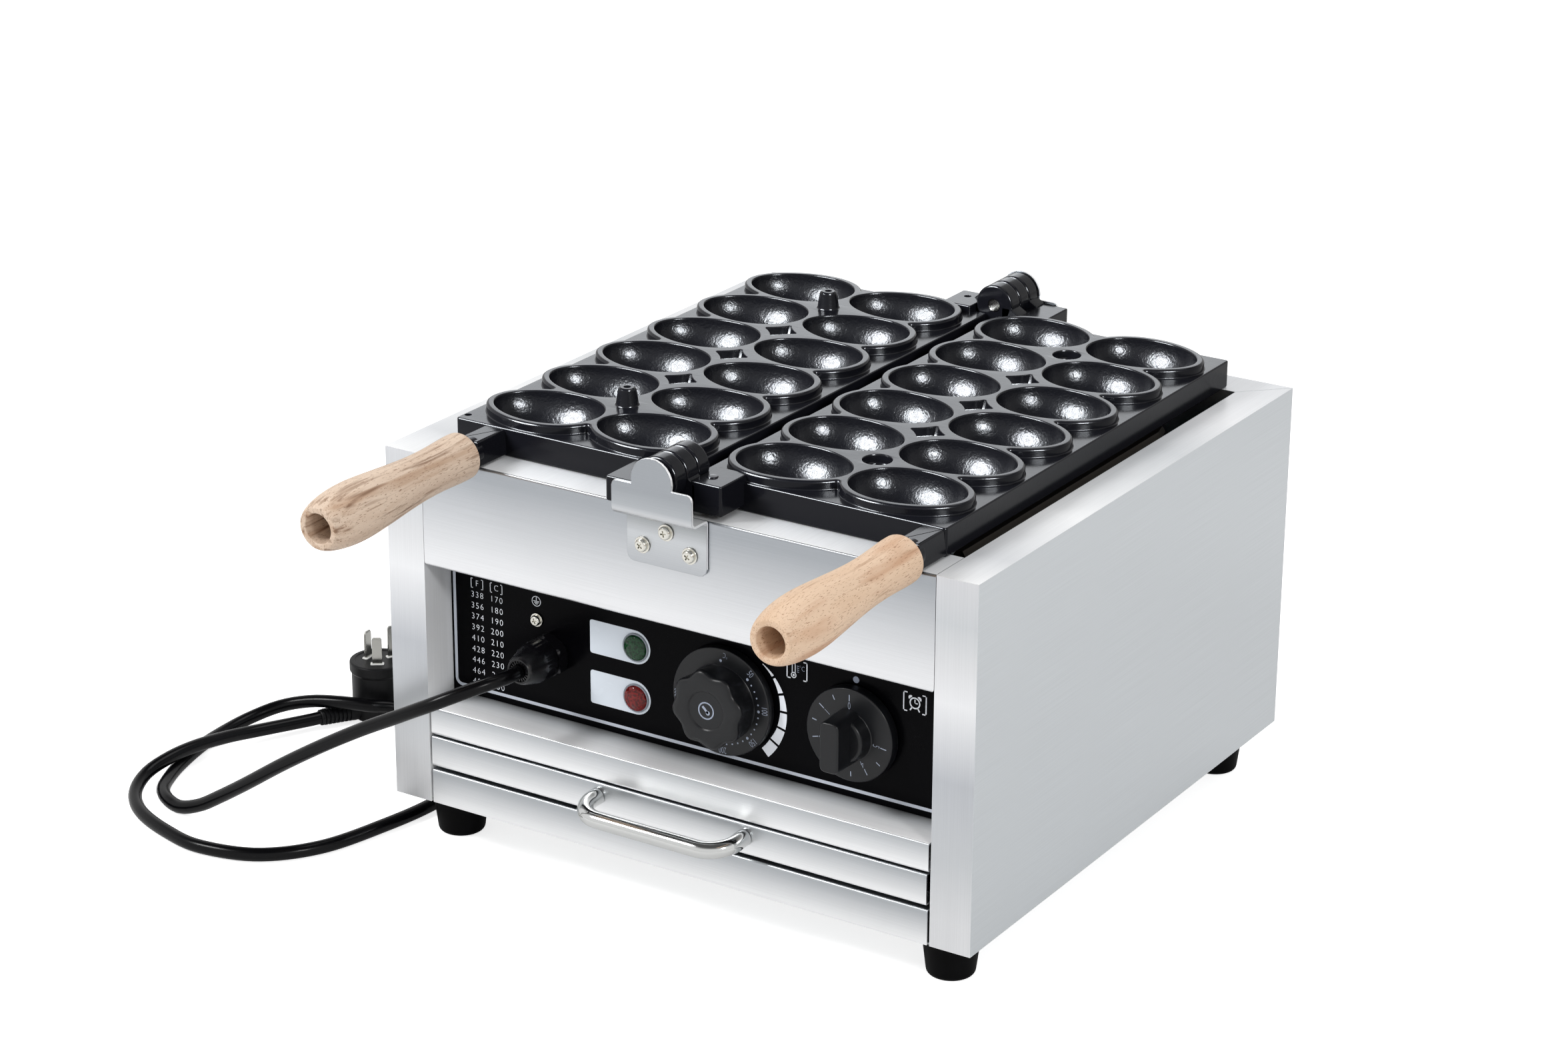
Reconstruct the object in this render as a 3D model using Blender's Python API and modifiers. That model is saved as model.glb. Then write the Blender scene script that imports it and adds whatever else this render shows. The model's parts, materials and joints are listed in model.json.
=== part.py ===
# Electric countertop cake maker: two folding cast plates with egg-shaped cavities over tubular heaters,
# in a folded stainless housing with a recessed control panel and a crumb drawer.
# Metres, +Z up, the front faces -Y. The origin is on the table under the middle of the machine.

import math

import bmesh
import bpy
import numpy as np
from mathutils import Vector

# Housing
WIDTH = 0.400               # across the side panels
DEPTH = 0.3864              # front posts to rear panel
HEIGHT = 0.2227             # box bottom to rim, without the feet
RIM = 0.0263                # width of the folded double walls
SHEET = 0.0012              # stainless sheet
GAP = 0.0003                # between pieces that touch
OVERRUN = 0.002             # how far a cutter runs past a face
EDGE = 0.0008               # small broken edge on sheet and castings
WELD = 0.00001              # points closer than this are one
RUN_GAP = 0.0010            # each side of a piece that slides
BEND = 0.0018               # outer radius of a fold
KNOB_SIDES = 28
ROUND_SIDES = 16
SMALL_SIDES = 12
SCREW_SIDES = 8

# Feet
FOOT_HEIGHT = 0.0281
FOOT_TOP_RADIUS = 0.0173
FOOT_FLOOR_RADIUS = 0.0140
FOOT_INSET = 0.0277         # foot axis from the housing's outer faces
FOOT_ROUNDING = 0.0035
FOOT_RECESS_RADIUS = 0.0070
FOOT_RECESS_DEPTH = 0.0120
SCREW_RADIUS = 0.0020
SCREW_HEAD_RADIUS = 0.0042
SCREW_HEAD_HEIGHT = 0.0024
CROWN_SHARE = 0.72          # screw head's face, of its radius

# Front, from the top down, in shares of the housing's height
FASCIA_BOTTOM_SHARE = 0.6884
SILL_TOP_SHARE = 0.2806
SILL_BOTTOM_SHARE = 0.2012
DRAWER_TOP_SHARE = 0.1953
DRAWER_BOTTOM_SHARE = 0.1078
BASE_TOP_SHARE = 0.0979
FASCIA_LIP = 0.0300         # top flange that runs back under the plates
FASCIA_RETURN = 0.0100
FASCIA_CORNER = 0.0025
PANEL_SETBACK = 0.0250      # recess of the control panel behind the front plane
PANEL_SHEET = 0.0020
PANEL_HEAD = 0.0147         # panel's top edge below the rim
SILL_FALL = 0.0019          # fall of the sill from the panel to the front
RAIL_RETURN = 0.0120
RAIL_GAP = 0.0015           # side gap of the front rails
DRAWER_SIDE_GAP = 0.0025

# Inside sheets
DECK_DROP = 0.0065          # sheet over the drawer, below the sill
PARTITION_Y = 0.0820        # wall between controls and heaters
PARTITION_DROP = 0.0267     # its top below the rim
VENT_LENGTH = 0.0600
VENT_WIDTH = 0.0060
VENT_PITCH = 0.0160
VENT_ROWS = 4

# Plates
AXIS_RISE = 0.0229          # pivot axis and the plates' meeting plane, above the rim
MEETING_GAP = 0.0003        # between the two closed plates
PLATE_SHIFT = 0.0018        # plates' middle behind the housing's middle
PLATE_MARGIN = 0.0217       # plates' ends from the housing's front and back, before the shift
PLATE_INNER = 0.0045        # slab edge from the pivot axis
PLATE_SIDE = 0.0345         # slab's outer edge from the housing's side
LAND_HEIGHT = 0.0056        # raised land over the slab
SKIN = 0.0050               # cast wall
CAVITY_ROWS = 6
ROW_SHARE = 0.1621          # distance between rows, of the plate's length
COLUMN_INNER_SHARE = 0.2733     # cavity centres across the slab
COLUMN_OUTER_SHARE = 0.7329
EGG_SPACING = 0.0036        # between neighbouring cavities
EGG_DEPTH = 0.0248
EGG_BLUNT_SHARE = 0.10      # how much fuller the end near the pivot is
EGG_SIDES = 14
EGG_RINGS = 6
SHELL_SIDES = 10            # the cavities' undersides
EGG_WALL = 0.0040
LAND_WIDTH = 0.0047         # land round each cavity
NOTCH_TRIM = 0.0050         # rounding of the notches between the eggs
POCKET_SHARE = 0.2158       # diamond pockets between four cavities, half across, of the row distance
POCKET_FLOOR_SHARE = 0.1169
POCKET_DEPTH = 0.0055
PEG_BASE_RADIUS = 0.0068
PEG_TIP_RADIUS = 0.0052
PEG_HEIGHT = 0.0110
HOLE_RADIUS = 0.0085
HOLE_FLOOR_RADIUS = 0.0075
HOLE_DEPTH = 0.0125
HOLE_WALL = 0.0035

# Hinge
KNUCKLE_RADIUS = 0.0130
KNUCKLE_LENGTH = 0.0110
KNUCKLE_GAP = 0.0005
KNUCKLE_SIDES = 18
WEB_HALF_HEIGHT = 0.0126    # arm from a lug to its knuckle, below the axis
PIN_RADIUS = 0.0040
PIN_CLEARANCE = 0.0004
PIN_HEAD_RADIUS = 0.0068
LUG_INNER = 0.0142          # lug from the pivot axis
LUG_OUTER = 0.0350
LUG_LIFT = 0.0033           # lug underside above the housing's rim
LUG_LOW_TOP = 0.0046        # top of the outer lug below the meeting plane
LUG_PAD_DROP = 0.0014       # step beside the inner lug's pad
LUG_HOLE_RADIUS = 0.0024
BRACKET_SHEET = 0.0018
BRACKET_BEND = 0.0028
BRACKET_REACH = 0.0170      # bracket's upright from the housing's face
BRACKET_HALF = 0.0270
BRACKET_TAB_DROP = 0.0335   # tab below the rim
BRACKET_TAB_CORNER = 0.0050
BRACKET_SHOULDER = 0.0032   # shoulders below the pivot axis
BRACKET_DOME = 0.0138
BRACKET_CORNER = 0.0035
BRACKET_SCREW_OUT = 0.0160
BRACKET_SCREW_LOW = 0.0223  # outer screws below the rim
BRACKET_SCREW_HIGH = 0.0117
WASHER_RADIUS = 0.0050
WASHER_SHEET = 0.0008

# Handles
BOSS_RIGHT_IN = 0.0085      # handle axes from the slabs' outer edges
BOSS_LEFT_IN = 0.0280
BOSS_HALF = 0.0083
BOSS_TAPER = 0.0012         # how much narrower the boss is at its top
BOSS_FRONT = 0.0040         # boss face ahead of the front plane
HANDLE_DROP = 0.0141        # handle axis below the pivot axis
HANDLE_DROOP = math.radians(1.4)
LOCKNUT_HALF = 0.0092       # half across corners
LOCKNUT_LENGTH = 0.0046
GRIP_LENGTH = 0.1300
GRIP_COLLAR_RADIUS = 0.0142
GRIP_WAIST_RADIUS = 0.0134
GRIP_BULGE_RADIUS = 0.0174
GRIP_END_RADIUS = 0.0128
GRIP_BORE_RADIUS = 0.0088
GRIP_BORE_DEPTH = 0.0560
# along, end to bulge
GRIP_NOSE_SHARES = ((1.0, 0.0), (0.985, 0.333), (0.94, 0.667), (0.86, 0.9), (0.76, 1.0))
GRIP_SWELL_SHARES = ((0.65, 0.75), (0.52, 0.5), (0.40, 0.2), (0.28, 0.0))       # along, waist to bulge
GRIP_FLARE_SHARES = ((0.14, 0.333), (0.02, 1.0))                                # along, waist to collar
BOLT_RADIUS = 0.0040
BOLT_HEAD_HALF = 0.0072
BOLT_HEAD_LENGTH = 0.0055
BOLT_GRASP = 0.0180         # thread inside the boss

# Heaters
HEATER_RADIUS = 0.0040
HEATER_DROP = 0.0080        # heater's top below the cavities' undersides
HEATER_BEND = 0.0150
HEATER_LEGS = 4
HEATER_SIDE = 0.0260        # outermost legs from the middle and from the inner wall
HEATER_REAR = 0.0340        # bends from the rear wall
SUPPORT_COUNT = 3
SUPPORT_WIDTH = 0.0120
SUPPORT_HEIGHT = 0.0080
SUPPORT_SHEET = 0.0015

# Controls, placed in shares of the opening's half width and the housing's height
KNOB_A_SHARES = (0.1290, 0.4724)        # thermostat
KNOB_B_SHARES = (0.6275, 0.4760)        # timer
LAMP_A_SHARES = (-0.2303, 0.5505)
LAMP_B_SHARES = (-0.2303, 0.4077)
GLAND_SHARES = (-0.5815, 0.4692)
GROUND_SHARES = (-0.6361, 0.5568)
KNOB_A_SKIRT = 0.0330
KNOB_A_GRIP = 0.0232
KNOB_A_SCALLOP = 0.0012
KNOB_A_LOBES = 8
KNOB_A_REACH = 0.0220       # grip's face from the panel
KNOB_A_SKIRT_THICK = 0.0052
KNOB_A_CAP = 0.0120
KNOB_A_CAP_DEPTH = 0.0008
KNOB_B_SKIRT = 0.0285
KNOB_B_SKIRT_THICK = 0.0072
KNOB_B_BOSS = 0.0138
KNOB_B_BOSS_REACH = 0.0160
KNOB_B_BAR_HALF = 0.0062
KNOB_B_BAR_LENGTH = 0.0305
KNOB_B_REACH = 0.0290
KNOB_STANDOFF = 0.0008
SHAFT_RADIUS = 0.0030
SHAFT_GRASP = 0.0120        # shaft inside the knob
CONTROL_A_RADIUS = 0.0200   # thermostat body
CONTROL_A_DEPTH = 0.0300
CONTROL_B_HALF = 0.0230     # timer body
CONTROL_B_DEPTH = 0.0340
CONTROL_CORNER = 0.0030
BUSH_RADIUS = 0.0050
LAMP_RADIUS = 0.0080
LAMP_RISE = 0.0042
# of the radius, of the rise
LENS_SHARES = ((0.0, 1.0), (0.45, 0.95), (0.75, 0.78), (0.80, 0.55), (1.0, 0.45))
LAMP_BARREL = 0.0062
LAMP_BARREL_LENGTH = 0.0240
GLAND_HEX_HALF = 0.0140
GLAND_HEX_LENGTH = 0.0085
GLAND_THREAD_RADIUS = 0.0095
GLAND_NUT_RADIUS = 0.0122
GLAND_NUT_LENGTH = 0.0235
GLAND_MOUTH_RADIUS = 0.0078
# along, flare
GLAND_NUT_SHARES = ((0.96, 0.0), (0.70, 0.0), (0.62, 0.5), (0.46, 0.82), (0.40, 1.0), (0.0, 1.0))
GLAND_LOCKNUT_LENGTH = 0.0050
TERMINAL_LENGTH = 0.0480
TERMINAL_HEIGHT = 0.0160
TERMINAL_DEPTH = 0.0180
TERMINAL_DROP = 0.0210      # its underside below the partition's top
BULB_RADIUS = 0.0030
BULB_LENGTH = 0.0700
CAPILLARY_RADIUS = 0.0012
CAPILLARY_RISE = 0.0175     # its bends above the thermostat and below the partition's top
CAPILLARY_STEP = 0.0090

# Drawer
TRAY_SHEET = 0.0010
TRAY_END = 0.0564           # how much shorter than the housing the tray is
TRAY_SIDE = 0.0137          # tray from the inner walls
TRAY_CLEAR = 0.0030         # tray inside its front's height
RUNNER_SHEET = 0.0015
RUNNER_LEDGE = 0.0120
PULL_HALF = 0.0510          # half the distance between the pull's ends
PULL_RADIUS = 0.0051
PULL_REACH = 0.0290
PULL_BEND = 0.0170
PULL_DROP = 0.0085          # its ends below the drawer front's top
PULL_TILT = 0.0020          # how much lower the pull's bar hangs than its ends

# Mains lead, plug lying pins up beside the machine
CORD_RADIUS = 0.0042
CORD_SIDES = 2
CORD_STEP = 0.0165
PLUG_OUT = 0.1204           # plug's axis from the housing's left face
PLUG_Y = 0.1357
PLUG_RADIUS = 0.0187
PLUG_HEIGHT = 0.0390
PLUG_TAPER = 0.0012
PLUG_FLANGE = 0.0064        # wider band under the face
PLUG_FOOT_BEVEL = 0.0016
PLUG_HEADING = math.radians(244)
RELIEF_START = 0.0165       # relief root from the plug's axis
RELIEF_LENGTH = 0.0265
RELIEF_ROOT = 0.0066
RELIEF_TIP = 0.0052
PIN_WIDTH = 0.0064
PIN_THICK = 0.0016
PIN_LENGTH = 0.0180
PIN_ROOT = 0.0098           # inside the plug
EARTH_LENGTH = 0.0210
PIN_RING = 0.0079           # live and neutral pins from the plug's axis
EARTH_RING = 0.0103
PIN_ANGLE = math.radians(60)    # live and neutral pins to each side of the relief

# Derived places
HALF = WIDTH / 2
INNER = HALF - RIM                                  # inner faces of the side panels
FASCIA_BOTTOM = HEIGHT * FASCIA_BOTTOM_SHARE
SILL_TOP = HEIGHT * SILL_TOP_SHARE
SILL_BOTTOM = HEIGHT * SILL_BOTTOM_SHARE
DRAWER_TOP = HEIGHT * DRAWER_TOP_SHARE
DRAWER_BOTTOM = HEIGHT * DRAWER_BOTTOM_SHARE
BASE_TOP = HEIGHT * BASE_TOP_SHARE
PANEL_TOP = HEIGHT - PANEL_HEAD
DECK_Z = SILL_TOP - DECK_DROP                       # underside of the sheet over the drawer
PARTITION_TOP = HEIGHT - PARTITION_DROP
TERMINAL_Z = PARTITION_TOP - TERMINAL_DROP
AXIS_Z = HEIGHT + AXIS_RISE
HANDLE_Z = AXIS_Z - HANDLE_DROP
PLATE_LENGTH = DEPTH - 2 * PLATE_MARGIN             # along the pivot axis
PLATE_OUTER = HALF - PLATE_SIDE
ROW_PITCH = PLATE_LENGTH * ROW_SHARE
COLUMN_INNER = PLATE_INNER + (PLATE_OUTER - PLATE_INNER) * COLUMN_INNER_SHARE
COLUMN_OUTER = PLATE_INNER + (PLATE_OUTER - PLATE_INNER) * COLUMN_OUTER_SHARE
EGG_LENGTH = COLUMN_OUTER - COLUMN_INNER - EGG_SPACING      # across the plate
EGG_WIDTH = ROW_PITCH - EGG_SPACING                         # along the plate
POCKET_HALF = ROW_PITCH * POCKET_SHARE
POCKET_FLOOR_HALF = ROW_PITCH * POCKET_FLOOR_SHARE
BOSS_RIGHT = PLATE_OUTER - BOSS_RIGHT_IN
BOSS_LEFT = PLATE_OUTER - BOSS_LEFT_IN
KNOB_A_X, KNOB_A_Z = INNER * KNOB_A_SHARES[0], HEIGHT * KNOB_A_SHARES[1]
KNOB_B_X, KNOB_B_Z = INNER * KNOB_B_SHARES[0], HEIGHT * KNOB_B_SHARES[1]
LAMP_X, LAMP_A_Z = INNER * LAMP_A_SHARES[0], HEIGHT * LAMP_A_SHARES[1]
LAMP_B_Z = HEIGHT * LAMP_B_SHARES[1]
GLAND_X, GLAND_Z = INNER * GLAND_SHARES[0], HEIGHT * GLAND_SHARES[1]
GROUND_X, GROUND_Z = INNER * GROUND_SHARES[0], HEIGHT * GROUND_SHARES[1]
TRAY_LENGTH = DEPTH - TRAY_END
TRAY_HALF = INNER - TRAY_SIDE
TRAY_BOTTOM = DRAWER_BOTTOM + TRAY_CLEAR
TRAY_TOP = DRAWER_TOP - TRAY_CLEAR
PULL_Z = DRAWER_TOP - PULL_DROP
PLUG_X = -HALF - PLUG_OUT
REAR_INNER = DEPTH - RIM
HANDLE_SPAN = LOCKNUT_LENGTH + GRIP_LENGTH + 2 * GAP
TIP = (BOSS_FRONT + HANDLE_SPAN * math.cos(HANDLE_DROOP)
       + GRIP_END_RADIUS * math.sin(HANDLE_DROOP))  # grips' ends ahead of the front plane
FRONT_Y = (TIP - DEPTH - BRACKET_REACH) / 2         # the front plane, from the origin
PLATE_MID = DEPTH / 2 + PLATE_SHIFT
PLATE_FRONT = PLATE_MID - PLATE_LENGTH / 2
PLATE_REAR = PLATE_MID + PLATE_LENGTH / 2
PLATE_BOTTOM = HEIGHT + GAP
MEETING_Z = AXIS_Z - MEETING_GAP / 2
SLAB_TOP = MEETING_Z - LAND_HEIGHT
CAVITY_Z = MEETING_Z - EGG_DEPTH - EGG_WALL         # undersides of the cavities
HEATER_Z = CAVITY_Z - HEATER_DROP - HEATER_RADIUS
PANEL_BACK = PANEL_SETBACK + PANEL_SHEET
SILL_BACK = SILL_TOP + SILL_FALL

# The lead from the gland down to the table, round a loop, behind the machine's corner, and back
# round a wider loop to the plug: from the housing's left face, the front plane and the box bottom
CORD_ROUTE = [
    (0.0973, -0.0225, 0.1044), (0.0934, -0.0310, 0.1036), (0.0867, -0.0397, 0.1010),
    (0.0780, -0.0464, 0.0970), (0.0679, -0.0506, 0.0919), (0.0570, -0.0520, 0.0862),
    (0.0420, -0.0523, 0.0781), (0.0150, -0.0520, 0.0634), (-0.0150, -0.0520, 0.0456),
    (-0.0450, -0.0520, 0.0264), (-0.0750, -0.0515, 0.0058), (-0.0980, -0.0508, -0.0093),
    (-0.1130, -0.0510, -0.0182), (-0.1290, -0.0510, -0.0236), (-0.1430, -0.0467, -0.0236),
    (-0.1550, -0.0370, -0.0236), (-0.1632, -0.0220, -0.0236), (-0.1705, -0.0028, -0.0236),
    (-0.1780, 0.0266, -0.0236), (-0.1806, 0.0530, -0.0236), (-0.1772, 0.0740, -0.0215),
    (-0.1662, 0.0905, -0.0170), (-0.1480, 0.0995, -0.0125), (-0.1270, 0.1055, -0.0105),
    (-0.1085, 0.1122, -0.0110), (-0.0988, 0.1217, -0.0130), (-0.0760, 0.1330, -0.0190),
    (-0.0510, 0.1360, -0.0236), (-0.0270, 0.1260, -0.0236), (-0.0100, 0.1030, -0.0236),
    (-0.0030, 0.0700, -0.0236), (-0.0020, 0.0358, -0.0236), (-0.0075, -0.0007, -0.0236),
    (-0.0205, -0.0468, -0.0236), (-0.0458, -0.0765, -0.0236), (-0.0822, -0.0870, -0.0236),
    (-0.1118, -0.0823, -0.0236), (-0.1430, -0.0703, -0.0235), (-0.1634, -0.0535, -0.0225),
    (-0.1727, -0.0331, -0.0195), (-0.1708, -0.0138, -0.0155), (-0.1680, 0.0081, -0.0149),
    (-0.1644, 0.0344, -0.0175), (-0.1581, 0.0585, -0.0203),
]
CORD_LEAD_IN = 0.0990       # gland from the left face, and above the box bottom, that the route was laid for
CORD_LEAD_UP = 0.1045
CORD_LEAD_POINTS = 10       # points of the route that follow the gland

FACING = {"x": (math.pi / 2, 0, math.pi / 2), "y": (math.pi / 2, 0, 0), "z": (0, 0, 0)}
parts = bpy.data.collections.new("egg_cake_maker")
cutters = bpy.data.collections.new("cutters")


def start_scene():
    for old in list(bpy.data.objects):
        bpy.data.objects.remove(old, do_unlink=True)
    for group in (parts, cutters):
        bpy.context.scene.collection.children.link(group)


def finish_of(name, colour, roughness, metallic):
    material = bpy.data.materials.get(name)
    if material is None:
        material = bpy.data.materials.new(name)
        material.use_nodes = True
        shader = material.node_tree.nodes["Principled BSDF"]
        shader.inputs["Base Color"].default_value = (*colour, 1)
        shader.inputs["Roughness"].default_value = roughness
        shader.inputs["Metallic"].default_value = metallic
        material.diffuse_color = (*colour, 1)
    return material


FINISHES = {
    "stainless": ((0.62, 0.64, 0.66), 0.28, 1.0),
    "black_coating": ((0.012, 0.012, 0.014), 0.30, 0.0),
    "black_panel": ((0.006, 0.006, 0.007), 0.25, 0.0),
    "black_plastic": ((0.012, 0.012, 0.013), 0.35, 0.0),
    "rubber": ((0.010, 0.010, 0.010), 0.60, 0.0),
    "beech": ((0.56, 0.37, 0.22), 0.55, 0.0),
    "zinc": ((0.60, 0.60, 0.58), 0.35, 1.0),
    "chrome": ((0.72, 0.72, 0.73), 0.08, 1.0),
    "heater": ((0.10, 0.10, 0.095), 0.50, 0.8),
    "galvanised": ((0.45, 0.47, 0.48), 0.40, 0.9),
    "green_lens": ((0.01, 0.12, 0.05), 0.20, 0.0),
    "red_lens": ((0.28, 0.01, 0.01), 0.20, 0.0),
    "cord_black": ((0.012, 0.012, 0.012), 0.50, 0.0),
    "pin_metal": ((0.55, 0.54, 0.50), 0.25, 1.0),
}


def empty(name, parent, location, rotation=(0, 0, 0)):
    made = bpy.data.objects.new(name, None)
    parts.objects.link(made)
    made.parent = parent
    made.location = location
    made.rotation_euler = rotation
    return made


def add_object(name, data, parent, location=(0, 0, 0), rotation=(0, 0, 0)):
    made = bpy.data.objects.new(name, data)
    parts.objects.link(made)
    made.parent = parent
    made.location = location
    made.rotation_euler = rotation
    return made


def mesh_object(name, work, parent, location=(0, 0, 0), rotation=(0, 0, 0)):
    data = bpy.data.meshes.new(name)
    bmesh.ops.recalc_face_normals(work, faces=work.faces)
    work.to_mesh(data)
    work.free()
    return add_object(name, data, parent, location, rotation)


def block(name, parent, low, high):
    """A box between two corners, with its origin in its middle."""
    low, high = Vector(low), Vector(high)
    work = bmesh.new()
    bmesh.ops.create_cube(work, size=1)
    bmesh.ops.scale(work, vec=high - low, verts=work.verts)
    return mesh_object(name, work, parent, (low + high) / 2)


def rod(name, parent, start, length, radius, tip_radius=None, sides=SMALL_SIDES, turn=0.0, axis="y"):
    """A cylinder or cone that runs from start along +axis, or along -axis for a negative length."""
    tip_radius = radius if tip_radius is None else tip_radius
    work = bmesh.new()
    bmesh.ops.create_cone(work, cap_ends=True, segments=sides, radius1=radius, radius2=tip_radius,
                          depth=abs(length))
    bmesh.ops.translate(work, vec=(0, 0, abs(length) / 2), verts=work.verts)
    back = length < 0
    turns = {"z": (math.pi if back else 0, 0, turn),
             "y": (math.pi / 2 if back else -math.pi / 2, turn, 0),
             "x": (0, -math.pi / 2 if back else math.pi / 2, 0)}
    return mesh_object(name, work, parent, start, turns[axis])


def to_mesh(made, name=None):
    """Replaces an object by its evaluated mesh, with loose caps welded."""
    bpy.context.view_layer.update()
    graph = bpy.context.evaluated_depsgraph_get()
    data = bpy.data.meshes.new_from_object(made.evaluated_get(graph))
    work = bmesh.new()
    work.from_mesh(data)
    bmesh.ops.remove_doubles(work, verts=work.verts, dist=WELD)
    bmesh.ops.recalc_face_normals(work, faces=work.faces)
    work.to_mesh(data)
    work.free()
    solid = bpy.data.objects.new(made.name, data)
    parts.objects.link(solid)
    solid.parent = made.parent
    solid.matrix_parent_inverse = made.matrix_parent_inverse
    solid.location = made.location
    solid.rotation_euler = made.rotation_euler
    label = name or made.name
    bpy.data.objects.remove(made, do_unlink=True)
    solid.name = label
    return solid


def slab(name, parent, outline, thickness, middle, facing):
    """A flat outline with a thickness. Its plane is YZ, XZ or XY for facing x, y or z."""
    curve = bpy.data.curves.new(name, "CURVE")
    curve.dimensions = "2D"
    curve.fill_mode = "BOTH"
    curve.extrude = thickness / 2
    spline = curve.splines.new("POLY")
    spline.points.add(len(outline) - 1)
    for point, place in zip(spline.points, outline):
        point.co = (place[0], place[1], 0, 1)
    spline.use_cyclic_u = True
    spot = {"x": (middle, 0, 0), "y": (0, middle, 0), "z": (0, 0, middle)}[facing]
    return to_mesh(add_object(name, curve, parent, spot, FACING[facing]))


def ribbon(path, thickness):
    """The closed outline of a folded sheet: a path and its copy offset to the left."""
    points = [Vector(p) for p in path]
    count = len(points)
    offset = []
    for i, here in enumerate(points):
        ahead = (points[min(i + 1, count - 1)] - points[min(i, count - 2)]).normalized()
        behind = (points[max(i, 1)] - points[max(i - 1, 0)]).normalized()
        normal = Vector((-ahead.y - behind.y, ahead.x + behind.x)).normalized()
        slant = normal.dot(Vector((-ahead.y, ahead.x)))
        offset.append(here + normal * thickness / slant)
    return points + offset[::-1]


def fold(path, radius=None):
    """Rounds the corners of a sheet's path."""
    radius = BEND if radius is None else radius
    points = [Vector(p) for p in path]
    rounded_path = [points[0]]
    for before, here, after in zip(points, points[1:], points[2:]):
        back, ahead = (before - here).normalized(), (after - here).normalized()
        reach = radius * math.tan((math.pi - back.angle(ahead)) / 2)
        start, end = here + back * reach, here + ahead * reach
        for t in np.linspace(0, 1, 4):
            rounded_path.append((1 - t) ** 2 * start + 2 * t * (1 - t) * here + t * t * end)
    return rounded_path + [points[-1]]


def arc(centre, radius, first, last, steps):
    """Points on an arc, angles in degrees."""
    return [(centre[0] + radius * math.cos(math.radians(a)), centre[1] + radius * math.sin(math.radians(a)))
            for a in np.linspace(first, last, steps + 1)]


def rounded(half_width, low, high, corner, steps=3):
    """A rectangle's outline, the same to both sides of the middle, with four round corners."""
    points = []
    for x, z, first in ((half_width - corner, high - corner, 0), (corner - half_width, high - corner, 90),
                        (corner - half_width, low + corner, 180), (half_width - corner, low + corner, 270)):
        points += arc((x, z), corner, first, first + 90, steps)
    return points


def turned(name, parent, profile, location, rotation=(0, 0, 0), sides=ROUND_SIDES, closed=False):
    """A profile of (radius, height) points, top to bottom down its outer side, turned about Z."""
    work = bmesh.new()
    made = [work.verts.new((radius, 0, height)) for radius, height in profile]
    for a, b in zip(made, made[1:] + made[:1] if closed else made[1:]):
        work.edges.new((a, b))
    data = bpy.data.meshes.new(name)
    work.to_mesh(data)
    work.free()
    solid = add_object(name, data, parent, location, rotation)
    screw = solid.modifiers.new("turn", "SCREW")
    screw.steps = sides
    screw.render_steps = sides
    screw.use_merge_vertices = True
    screw.merge_threshold = WELD
    return to_mesh(solid)


def tube(name, parent, points, radius, resolution=2):
    """A round bar or wire through the points."""
    curve = bpy.data.curves.new(name, "CURVE")
    curve.dimensions = "3D"
    curve.bevel_depth = radius
    curve.bevel_resolution = resolution
    curve.use_fill_caps = True
    spline = curve.splines.new("POLY")
    spline.points.add(len(points) - 1)
    for point, place in zip(spline.points, points):
        point.co = (*place, 1)
    return to_mesh(add_object(name, curve, parent))


def combine(target, others, operation):
    """Cuts or joins other objects into the target, and removes them."""
    for i, other in enumerate(others):
        other.hide_render = True
        other.display_type = "WIRE"
        parts.objects.unlink(other)
        cutters.objects.link(other)
        change = target.modifiers.new(f"{operation.lower()}_{i}", "BOOLEAN")
        change.operation = operation
        change.solver = "EXACT"
        change.object = other
    solid = to_mesh(target)
    for other in others:
        bpy.data.objects.remove(other, do_unlink=True)
    return solid


def cut(target, *others):
    return combine(target, others, "DIFFERENCE")


def join(target, *others):
    return combine(target, others, "UNION")


def dress(solid, finish, smooth=True):
    """Gives a piece its finish, and smooth shading with sharp edges where it is round."""
    solid.data.materials.clear()
    solid.data.materials.append(finish_of(finish, *FINISHES[finish]))
    if smooth:
        solid.data.shade_smooth()
        solid.data.set_sharp_from_angle(angle=math.radians(35))
    return solid


def soften(solid, width, angle=50):
    bevel = solid.modifiers.new("edges", "BEVEL")
    bevel.width = width
    bevel.segments = 1
    bevel.limit_method = "ANGLE"
    bevel.angle_limit = math.radians(angle)
    return to_mesh(solid)


def smooth_route(points, step):
    """Evenly spaced points on a smooth curve through the route's own points."""
    ways = [Vector(p) for p in points]
    ways = [2 * ways[0] - ways[1]] + ways + [2 * ways[-1] - ways[-2]]
    fine = []
    for a, b, c, d in zip(ways, ways[1:], ways[2:], ways[3:]):
        for t in np.linspace(0, 1, 12, endpoint=False):
            fine.append(0.5 * (2 * b + (c - a) * t + (2 * a - 5 * b + 4 * c - d) * t * t
                               + (3 * b - a - 3 * c + d) * t ** 3))
    fine.append(ways[-2])
    length = np.cumsum([0] + [(q - p).length for p, q in zip(fine, fine[1:])])
    count = max(2, round(length[-1] / step))
    table = np.array([tuple(p) for p in fine])
    marks = np.linspace(0, length[-1], count + 1)
    return [tuple(np.interp(m, length, table[:, i]) for i in range(3)) for m in marks]


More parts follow.
